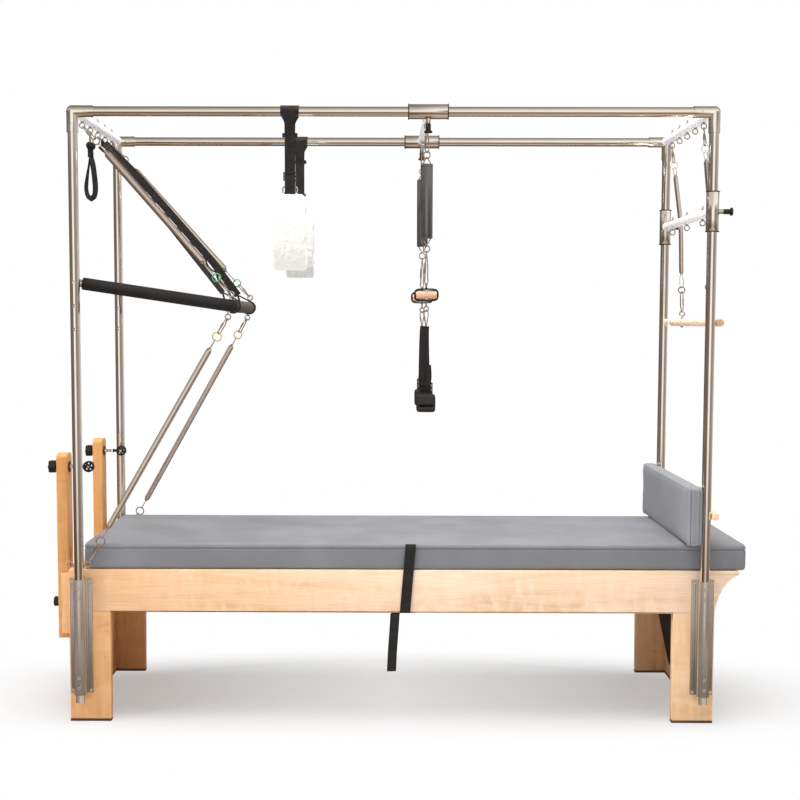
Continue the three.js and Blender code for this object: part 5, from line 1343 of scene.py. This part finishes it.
buckle_side, buckle_bar = 4 * mm, 5 * mm
# The third colour is the painted shade in the hollows of the curls, and the number is the strength of a
# painted glow.
fleece_front = tufted("white_fleece", "c9c6c0", "b6b2ab", 0.27)
# The rear loop is a darker copy of the same wool with a weaker glow: painted shade, because it hangs further
# back.
fleece_rear_painted_shade = tufted("white_fleece_rear", "b9b6b0", "a39f99", 0.21)
d_ring_z, buckle_low, buckle_high, meet_z, collar_low = 1.780, 1.812, 1.840, 1.92, 1.955
wrap_out, wrap_rise, wrap_open = tube_radius + 2.4 * mm, 11 * mm, 2.4 * mm
half_collar, half_strap, webbing_thick, ear_half = 30 * mm, 17 * mm, 2.2 * mm, 25 * mm
d_ring_wire, d_ring_corner = 2.6 * mm, 11 * mm
fleece_deep, fleece_neck, fleece_thick, fleece_voxel = 34 * mm, 8 * mm, 15 * mm, 3.2 * mm
wool_scale, wool_rough, wool_fill = 15 * mm, 4 * mm, 0.7
for side, sy, finish in (("front", -1, fleece_front), ("rear", 1, fleece_rear_painted_shade)):
    body = "fuzzy_loop_" + side
    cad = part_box("fleece_loop_" + side)
    x, y = (cad[0].x + cad[1].x) / 2, sy * upright_y

    def collar(s, k):
        """The k-th point up the collar, on the side s of the rail."""
        return Vector((x, y + s * (3 * mm + k * wrap_open), collar_low + k * wrap_rise))

    around = [Vector((x, y - wrap_out * math.cos(a), rail_z + wrap_out * math.sin(a)))
              for a in [math.radians(-20 + 13.75 * k) for k in range(17)]]
    route = smooth_route([
        (x, y - sy * 0.4 * mm, buckle_high - 20 * mm), (x, y - 2 * mm, meet_z),
        *[collar(-1, k) for k in range(4)], *around, *[collar(1, k) for k in range(3, -1, -1)],
        (x, y + 2 * mm, meet_z), (x, y + 0.4 * mm, buckle_high - 20 * mm)], 150)

    def wide(share):
        """Narrow below, widest over the rail."""
        rise = min(max(1 - (abs(share - 0.5) - 0.085) / 0.045, 0), 1)
        return (half_strap + (half_collar - half_strap) * rise**0.8, 0, 0)

    to_ring = smooth_route([(x, y - 1.6 * mm, buckle_high - 8 * mm), (x, y - 2.4 * mm, 1.805),
                            (x, y - mm, d_ring_z - 22 * mm), (x, y + 2.4 * mm, 1.805),
                            (x, y + 1.6 * mm, buckle_low + 4 * mm)], 24)
    ear = add_block((x - ear_half, y - 3.4 * mm, 1.952), (x + ear_half, y + 3.4 * mm, 1.966))
    round_edges(ear, 2 * mm, 2)
    pieces = [strap(route, wide, webbing_thick), strap(to_ring, (half_strap, 0, 0), 2 * mm), ear]
    complete(gather(pieces), "fuzzy_strap_%s_webbing" % side, body, black_webbing,
             ["fuzzy_strap_" + side])
    buckle = ladder_buckle(x, y, buckle_low, buckle_high, 22 * mm, 3.4 * mm)
    complete(buckle, "fuzzy_strap_%s_buckle" % side, body, black_plastic)
    d_ring = bent_link(spots((x, y, d_ring_z), (-25, 0, 13), (25, 0, 13), (22, 0, -12), (-22, 0, -12)),
                       d_ring_corner, d_ring_wire, 12)
    complete(d_ring, "fuzzy_ring_" + side, body, screw_steel)
    top, bottom = d_ring_z - 20 * mm, cad[0].z + 5 * mm
    half_loop = [(3 * mm, top + 6 * mm), (fleece_neck, top - 6 * mm), (fleece_deep * 0.75, top - 60 * mm),
                 (fleece_deep, top - 130 * mm), (fleece_deep * 0.92, bottom + 50 * mm),
                 (fleece_deep * 0.5, bottom + 10 * mm)]
    loop = [(0, -out, z) for out, z in half_loop] + [(0, 0, bottom)]
    loop += [(0, out, z) for out, z in reversed(half_loop)]
    loop = [p + Vector((x, y, 0)) for p in smooth_route(loop, 90)]

    def spread(share):
        """The loop is gathered at the ring and widens quickly below it."""
        near = min(share, 1 - share)
        wide_share = min(near / 0.035, 1)
        ripple = 1 + 0.03 * math.sin(near * 34) + 0.02 * math.sin(near * 71 + 1)
        return ((38 + 14 * math.sin(wide_share * math.pi / 2)) * ripple * mm, 0, 0)

    fleece = strap(loop, spread, fleece_thick, 16)
    apply(fleece, "REMESH", mode="VOXEL", voxel_size=fleece_voxel)
    apply(fleece, "SUBSURF", levels=1)
    wool = bpy.data.textures.new("wool_" + side, "CLOUDS")
    wool.noise_scale = wool_scale
    apply(fleece, "DISPLACE", texture=wool, strength=wool_rough, mid_level=0.5, texture_coords="LOCAL")
    complete(fleece, "fleece_loop_%s_wool" % side, body, finish, ["fleece_loop_" + side],
             smooth=80)


# Two strings hang from the top slider, one behind the other. Down each: a snap hook, a ring, a padded
# handle, a second ring and hook, a short wooden grip held in webbing, and a foot strap with its cuff.
charcoal = moulded("charcoal_pad", "303032", 0.3, depth=0.04)
leather_look = charcoal.node_tree.nodes["Principled BSDF"].inputs
for setting, value in (("Specular IOR Level", 1.0), ("Coat Weight", 1.0), ("Coat IOR", 1.9),
                       ("Coat Roughness", 0.2)):
    leather_look[setting].default_value = value
dark_leather = moulded("dark_leather", "2a2523", 0.5, dark=0.7)
grip_wood = maple("grip_maple", 0, pale="e6b797", middle="dfac89", dark="d19c78")
hang = cross_eye_z - link_inside
pad_top, pad_bottom = hang - 122 * mm, hang - 370 * mm
pad_radius, pad_flat, pad_edge = 20.5 * mm, 0.86, 2.5 * mm
seam_inset, seam_radius, seam_wire, seam_flat = 9 * mm, 20 * mm, 0.8 * mm, 0.88
link_wire, link_corner, pad_fill, cuff_fill = 1.9 * mm, 4 * mm, 0.9, 0.7
low_ring, grip_z, web_top = pad_bottom - 34 * mm, 1.444, 1.334
hook_end, small_eye = grip_z + 34 * mm, grip_z - 47 * mm
wood_radius, wood_long, disc_radius, disc_thick, disc_out = 15.6 * mm, 71 * mm, 16 * mm, 2.4 * mm, 36.8 * mm
rear_over, rear_down = 5 * mm, 8 * mm
for side, sy in both_sides:
    x, y = top_slider_x, sy * string_y
    body = "string_" + side
    metalwork = [
        *snap_hook((x, y, hang), (x, y, hang - 84 * mm), 1.3, half=10 * mm, thick=2.2 * mm),
        ring((x, y, hang - 92 * mm), end_ring, ring_wire, (0.4, 1, 0)),
        ring((x, y, low_ring), end_ring, ring_wire, (-0.3, 1, 0)),
        *snap_hook((x, y, low_ring - 8 * mm), (x, y, hook_end), 1.4, half=9 * mm, thick=2.2 * mm),
        ring((x, y, small_eye), 8 * mm, ring_wire, (0.3, 1, 0)),
        ring((x, y, hook_end - 4 * mm), 7 * mm, 2 * mm, (1, 0.2, 0)),
        *snap_hook((x, y, small_eye - 5 * mm), (x, y, web_top + 2 * mm), 1.2, (1, 0, 0), 7 * mm, 1.8 * mm),
    ]
    for z, up in ((pad_top, 1), (pad_bottom, -1)):
        link = spots((x, y, z), (0, 0, up * 24), (-up * 15, 0, -up * 2), (up * 15, 0, -up * 2))
        metalwork.append(bent_link(link, link_corner, link_wire))
    for z, tall in ((grip_z + 22 * mm, 14 * mm), (grip_z - 28 * mm, 24 * mm)):
        metalwork.append(add_cylinder(3 * mm, tall, (x, y, z), "Z", 16))
    for z in (grip_z + 14 * mm, grip_z - 14 * mm):
        metalwork.append(add_cylinder(3 * mm, 2 * mm, (x, y - 15.5 * mm, z), "Y", 16))
    complete(gather(metalwork), "string_%s_metal" % side, body, hook_steel)

    pad = add_cylinder(pad_radius, pad_top - pad_bottom, (x, y, (pad_top + pad_bottom) / 2), "Z", 40)
    bands = gather([ring((x, y, z), seam_radius, seam_wire, (0, 0, 1), 40, 6)
                    for z in (pad_top - seam_inset, pad_bottom + seam_inset)])
    for piece, flat in ((pad, pad_flat), (bands, seam_flat)):
        for vertex in piece.data.vertices:
            vertex.co.y = y + (vertex.co.y - y) * flat
    round_edges(pad, pad_edge, 3, 50)
    complete(pad, "padded_handle_%s_foam" % side, body, charcoal, ["padded_handle_" + side])
    complete(bands, "padded_handle_%s_seams" % side, body, dark_leather)

    wood = add_cylinder(wood_radius, wood_long, (x, y, grip_z), "X", 40)
    round_edges(wood, 2 * mm, 3, 50)
    complete(wood, "small_grip_%s_wood" % side, body, grip_wood)
    yoke = rounded(spots((x, y, grip_z), (0, 0, 20), (-39, 0, 18), (-39, 0, -18), (0, 0, -20), (39, 0, -18),
                         (39, 0, 18), (0, 0, 20)), 14 * mm)
    pieces = [strap(yoke, (0, 12 * mm, 0), 5 * mm, 2)]
    for sx in (-1, 1):
        end_disc = add_cylinder(disc_radius, disc_thick, (x + sx * disc_out, y, grip_z), "X", 32)
        round_edges(end_disc, mm, 2, 50)
        pieces.append(end_disc)
    turned, web_low, cuff_top, cuff_low = math.radians(24), 1.148, 1.107, 1.0465
    if side == "rear":
        turned, x = math.radians(-18), x + rear_over
        web_low, cuff_top, cuff_low = web_low - rear_down, cuff_top - rear_down, cuff_low - rear_down
    pieces.append(strap([Vector((x, y + 2.5 * mm, z))
                         for z in (web_low + 8 * mm, web_low - 20 * mm, cuff_top - 3 * mm)],
                        (18 * mm, 0, 0), 3 * mm))
    down = smooth_route([(x, y, web_top + 4 * mm), (x - 1.5 * mm, y - mm, web_top - 20 * mm),
                         (x - 2 * mm, y - 1.4 * mm, (web_top + web_low) / 2),
                         (x - mm, y - 2 * mm, web_low - 10 * mm)], 60)
    across = Vector((math.cos(turned), math.sin(turned), 0))
    for offset in (0, 3 * mm):
        pieces.append(strap([p + Vector((0, offset, 0)) for p in down],
                            lambda t: across * (11.5 + 5.5 * t) * mm, webbing_thick))
    fold = smooth_route(spots((x, y, web_low), (8, -3, 60), (10, -8, 20), (6, -4, -14)), 20)
    pieces.append(strap(fold, (9 * mm, -3 * mm, 0), 2 * mm))
    complete(gather(pieces), "foot_strap_%s_webbing" % side, body, black_webbing,
             ["foot_strap_" + side])
    buckle = ladder_buckle(x, y, cuff_top + 2 * mm, web_low, 23 * mm, 4 * mm)
    complete(buckle, "foot_strap_%s_buckle" % side, body, black_plastic)
    middle_z = (cuff_top + cuff_low) / 2
    cuff = add_block((x - 32 * mm, y - 21 * mm, cuff_low + mm), (x + 32 * mm, y + 21 * mm, cuff_top + 2 * mm))
    round_edges(cuff, 9 * mm, 4)
    tunnel = add_block(*spots((x, y, middle_z), (-24, -40, -5), (24, 40, 4)))
    round_edges(tunnel, 4 * mm, 4)
    for vertex in tunnel.data.vertices:
        vertex.co.y = y + (vertex.co.y - y) * 3
        vertex.co.z += (vertex.co.y - y) * 0.35
    combine(cuff, tunnel, "DIFFERENCE")
    puffed(cuff, 3 * mm, 2.5 * mm)
    complete(cuff, "foot_strap_%s_cuff" % side, body, dark_leather, smooth=60)

# A twisted hand loop of black webbing hangs at the second eye of the left crossbar. It's one folded band,
# knotted on a small hook, and its two sides twist apart on the way down.
hand = Vector((crossbar_x, -eye_pitch, 0))
knot_z, loop_top, hand_half, hand_knot, hand_hook_half = 1.955, 1.922, 9.5 * mm, 4.5 * mm, 7 * mm
knot_place, loop_place = hand + Vector((0, 0, knot_z)), hand + Vector((0, 0, loop_top))
side_a = smooth_route(spots(loop_place, (0, 0, 24), (-1.5, 0, 0), (-6, 2, -28), (-13, 2, -72),
                            (-17, 2, -110), (-11, 1, -138), (5, 0, -150)), 72)
side_b = smooth_route(spots(loop_place, (0, 0, 24), (2, 0, 0), (7, 0, -28), (12, 0, -68), (15, 0, -108),
                            (11, 0, -137), (-5, 0, -150)), 72)
tongue = smooth_route([knot_place + Vector((-mm, 0, 0)), loop_place + Vector((1, -3, 8)) * mm,
                       loop_place + Vector((0, 0, -6)) * mm], 16)


def turned_edge(seen_share, lean, up):
    """Half the webbing's width, with a share of it seen from the front."""
    flat_way = Vector((math.cos(lean), 0, up * math.sin(lean))) * seen_share
    return (flat_way + Vector((0, math.sqrt(1 - seen_share**2), 0))) * hand_half


def left_turn(share):
    """Edge on at the knot, and flat to the front at the bottom."""
    seen_share = 0.08 + 0.42 * min(max((share - 0.35) / 0.3, 0), 1) + 0.45 * share**8
    return turned_edge(seen_share, math.radians(52) * max(0, (share - 0.7) / 0.3), 1)


def right_turn(share):
    """Broad all the way, and folded round at the bottom."""
    return turned_edge(min(0.4 + 1.6 * share, 1), math.radians(60) * max(0, (share - 0.7) / 0.3), -1)


pieces = [
    wire(spots(knot_place, (-12, 2, 4), (-4, -6, 9), (8, -4, 5), (13, 2, -3), (2, 6, -8), (-9, 3, -5),
               (-6, -6, 6), (5, -7, -2), (9, 0, 8)), hand_knot, sides=10, flowing=True),
    strap(side_a, left_turn, 2 * mm),
    strap(side_b, right_turn, 2 * mm),
    strap(tongue, (9 * mm, 4 * mm, 0), 4 * mm),
]
complete(gather(pieces), "hand_loop_webbing", "hand_loop", black_webbing, ["hand_loop"])
small_hook = snap_hook(hand + Vector((0, 0, hang)), knot_place + Vector((0, 0, 2 * mm)), 0,
                       half=hand_hook_half)
complete(gather(small_hook), "hand_loop_hook", "hand_loop", hook_steel)


# Two riser posts of maple slide in guides on the left end panel. Each carries a pulley on a bolt with a
# black star knob outside, and a lock knob whose bolt runs in the long slot of the post.
def star_knob(radius, length, face, y, z, lobes=6):
    """A moulded knob with lobes and a steel plate in its outer face."""
    knob = add_cylinder(radius, length, (face - length / 2, y, z), "X", 72)
    for vertex in knob.data.vertices:
        a = math.atan2(vertex.co.z - z, vertex.co.y - y)
        k = 1 - 0.19 * (0.5 - 0.5 * math.cos(lobes * a)) ** 1.5
        vertex.co.y = y + (vertex.co.y - y) * k
        vertex.co.z = z + (vertex.co.z - z) * k
    round_edges(knob, 3.2 * mm, 4, 50)
    hub = add_cylinder(radius * 0.45, length * 0.4, (face + 0.1 * length, y, z), "X", 32)
    return gather([knob, hub])


post_maple = maple("post_maple", 2, pale="e8bd8d", middle="deac77", dark="ca945e")
pulley_y, pulley_z, lock_z, axle_x = 265 * mm, 862 * mm, 400 * mm, -1.04265
cheek_y, cheek_thick, fork_long, fork_thick = 8.2 * mm, 2 * mm, 31 * mm, 4 * mm
wheel_radius, wheel_wide, groove_radius, groove_wire = 19 * mm, 12 * mm, 20.5 * mm, 4 * mm
wheel_bore, wheel_holes, hole_radius, holes_out, through = 3.5 * mm, 5, 3.4 * mm, 10.5 * mm, 30 * mm
for side, sy in both_sides:
    post = board_from("riser_post_" + side)
    round_edges(post, 2.5 * mm, 3, 40)
    complete(post, "riser_post_%s_wood" % side, "riser_" + side, post_maple, ["riser_post_" + side])
    low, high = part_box("riser_post_" + side)
    y, z = sy * pulley_y, pulley_z
    body = "pulley_block_" + side
    washer = add_cylinder(18 * mm, 3.4 * mm, (high.x + 2.2 * mm, y, z), "X", 48)
    round_edges(washer, mm, 2, 50)
    knob = gather([star_knob(22 * mm, 24 * mm, low.x - 8.5 * mm, y, z), washer])
    complete(knob, "star_knob_" + side, body, black_plastic, [body])
    axle = Vector((axle_x, y, z))
    pieces = [
        add_cylinder(5 * mm, 75 * mm, (low.x + 26 * mm, y, z), "X", 20),
        add_cylinder(10 * mm, 3 * mm, (high.x + 5 * mm, y, z), "X", 36),
        add_cylinder(8 * mm, 6 * mm, (high.x + 6.5 * mm, y, z), "X", 6),
        add_cylinder(3 * mm, 21 * mm, axle, "Y", 20),
        add_cylinder(5 * mm, 24 * mm, axle, "Y", 6),
    ]
    complete(gather(pieces), "pulley_yoke_" + side, body, screw_steel, [body])
    cheeks = []
    for s in (-1, 1):
        cheek = add_cylinder(6.5 * mm, cheek_thick, axle + Vector((0, s * cheek_y, 0)), "Y", 32)
        arm = add_block((axle.x - fork_long, y + s * cheek_y - cheek_thick / 2, z - 4 * mm),
                        (axle.x, y + s * cheek_y + cheek_thick / 2, z + 4 * mm))
        combine(cheek, arm, "UNION")
        round_edges(cheek, 0.5 * mm, 1, 50)
        cheeks.append(cheek)
    bridge_half = cheek_y + cheek_thick / 2
    bridge = add_block((axle.x - fork_long, y - bridge_half, z - 6 * mm),
                       (axle.x - fork_long + fork_thick, y + bridge_half, z + 6 * mm))
    round_edges(bridge, 0.5 * mm, 1)
    complete(gather([*cheeks, bridge]), "pulley_cheeks_" + side, body, black_plastic)
    wheel = add_cylinder(wheel_radius, wheel_wide, axle, "Y", 56)
    combine(wheel, ring(axle, groove_radius, groove_wire, sides=56, wire_sides=16), "DIFFERENCE")
    combine(wheel, add_cylinder(wheel_bore, through, axle, "Y", 20), "DIFFERENCE")
    for i in range(wheel_holes):
        a = 2 * math.pi * i / wheel_holes + 0.3
        hole = axle + Vector((math.cos(a), 0, math.sin(a))) * holes_out
        combine(wheel, add_cylinder(hole_radius, through, hole, "Y", 20), "DIFFERENCE")
    round_edges(wheel, 0.6 * mm, 2, 50)
    complete(wheel, "pulley_wheel_%s_disc" % side, "pulley_wheel_" + side, black_plastic,
             ["pulley_wheel_" + side])
    lock = star_knob(17 * mm, 22 * mm, low.x - 0.4 * mm, y, lock_z)
    bolt = add_cylinder(5 * mm, 40 * mm, (low.x + 18 * mm, y, lock_z), "X", 20)
    complete(gather([lock, bolt]), "lock_knob_%s_star" % side, "lock_knob_" + side, black_plastic,
             ["lock_knob_" + side])

# A boxed cushion in grey vinyl stands across the right end, screwed on a board inside the uprights and
# clamped by a batten and two bolts outside them.
cushion_low, cushion_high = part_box("end_cushion")
board_low, board_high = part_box("end_cushion_board")
cushion_far = right_x - tube_radius - 2 * mm
cushion_corner, cushion_edge, cushion_voxel, cushion_rise = 16 * mm, 5 * mm, 6 * mm, 4 * mm
piping_deep, piping_wide = 2.4 * mm, 3 * mm
# Painted light: the cushion's vinyl is a lighter copy of the mattress vinyl, for the face of the cushion that
# catches more light from the left.
lit_cushion_vinyl = vinyl("grey_vinyl_cushion_painted_light", "8e8f93", "848589")
cushion = slab(cushion_low + Vector((-4, 1, 2)) * mm,
               Vector((cushion_far, cushion_high.y - mm, cushion_high.z + 8 * mm)), 0,
               cushion_corner, 6, cushion_edge)
puffed(cushion, cushion_voxel, cushion_rise)
for vertex in cushion.data.vertices:
    vertex.co.x = min(vertex.co.x, cushion_far)
for x in (cushion_low.x + 4 * mm, cushion_far - 8 * mm):
    crease(cushion, (x, 0, 0), (1, 0, 0), piping_deep, piping_wide)
complete(cushion, "end_cushion_cover", "table", lit_cushion_vinyl, ["end_cushion"], smooth=50)
board_maple = maple("cushion_board_maple", 1)
near, far = cushion_far - 6 * mm, right_x - tube_radius - 0.3 * mm
batten_low, batten_high, batten_thick, clamp_y = 0.700, 0.722, 21 * mm, 0.290
clamp_z = (batten_low + batten_high) / 2
back = add_block((near, -0.350, cushion_low.z + 8 * mm), (far, 0.366, cushion_high.z - 8 * mm))
batten = add_block((board_high.x - batten_thick, board_low.y, batten_low),
                   (board_high.x, board_high.y, batten_high))
for piece in (back, batten):
    round_edges(piece, 1.6 * mm, 3)
complete(gather([back, batten]), "cushion_board_and_batten", "table", board_maple,
         ["end_cushion_board"])
pieces = []
for sy in (-1, 1):
    for radius, long, x, sides in (
        (6 * mm, board_high.x - near, (near + board_high.x) / 2, 24),
        (9 * mm, 3 * mm, board_high.x + 1.4 * mm, 32),
        (6 * mm, 5 * mm, board_high.x + 5 * mm, 6),
    ):
        pieces.append(add_cylinder(radius, long, (x, sy * clamp_y, clamp_z), "X", sides))
complete(gather(pieces), "cushion_clamp_bolts", "table", screw_steel)

# Under the deck at the right end hangs a bundle of black straps for storage: five folded laps of webbing
# that lie against each other and come to a narrow end below.
bundle_low, bundle_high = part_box("strap_bundle")
laps, lap_pitch, lap_thick, lap_steps = 5, 2.3 * mm, 1.9 * mm, 40
pieces = []
for i in range(laps):
    x = bundle_low.x + 1.4 * mm + lap_pitch * i
    shift = (i % 2) * 5 * mm
    fold = [(x, 0.150 + shift * 0.3, bundle_high.z), (x, 0.148, 0.36), (x, 0.150, 0.235),
            (x, 0.110 + shift, 0.16), (x, 0.062 + shift, 0.100 + i * 7 * mm)]
    width = [0.106, 0.106, 0.104, 0.098 - 0.004 * i, 0.012]
    halves = smooth_route([(0, w, 0.42 * w if k > 2 else 0) for k, w in enumerate(width)], lap_steps)
    pieces.append(strap(smooth_route(fold, lap_steps),
                        lambda t, rows=halves: rows[min(round(t * lap_steps), lap_steps)], lap_thick, 6))
complete(gather(pieces), "strap_bundle_webbing", "table", black_webbing, ["strap_bundle"])
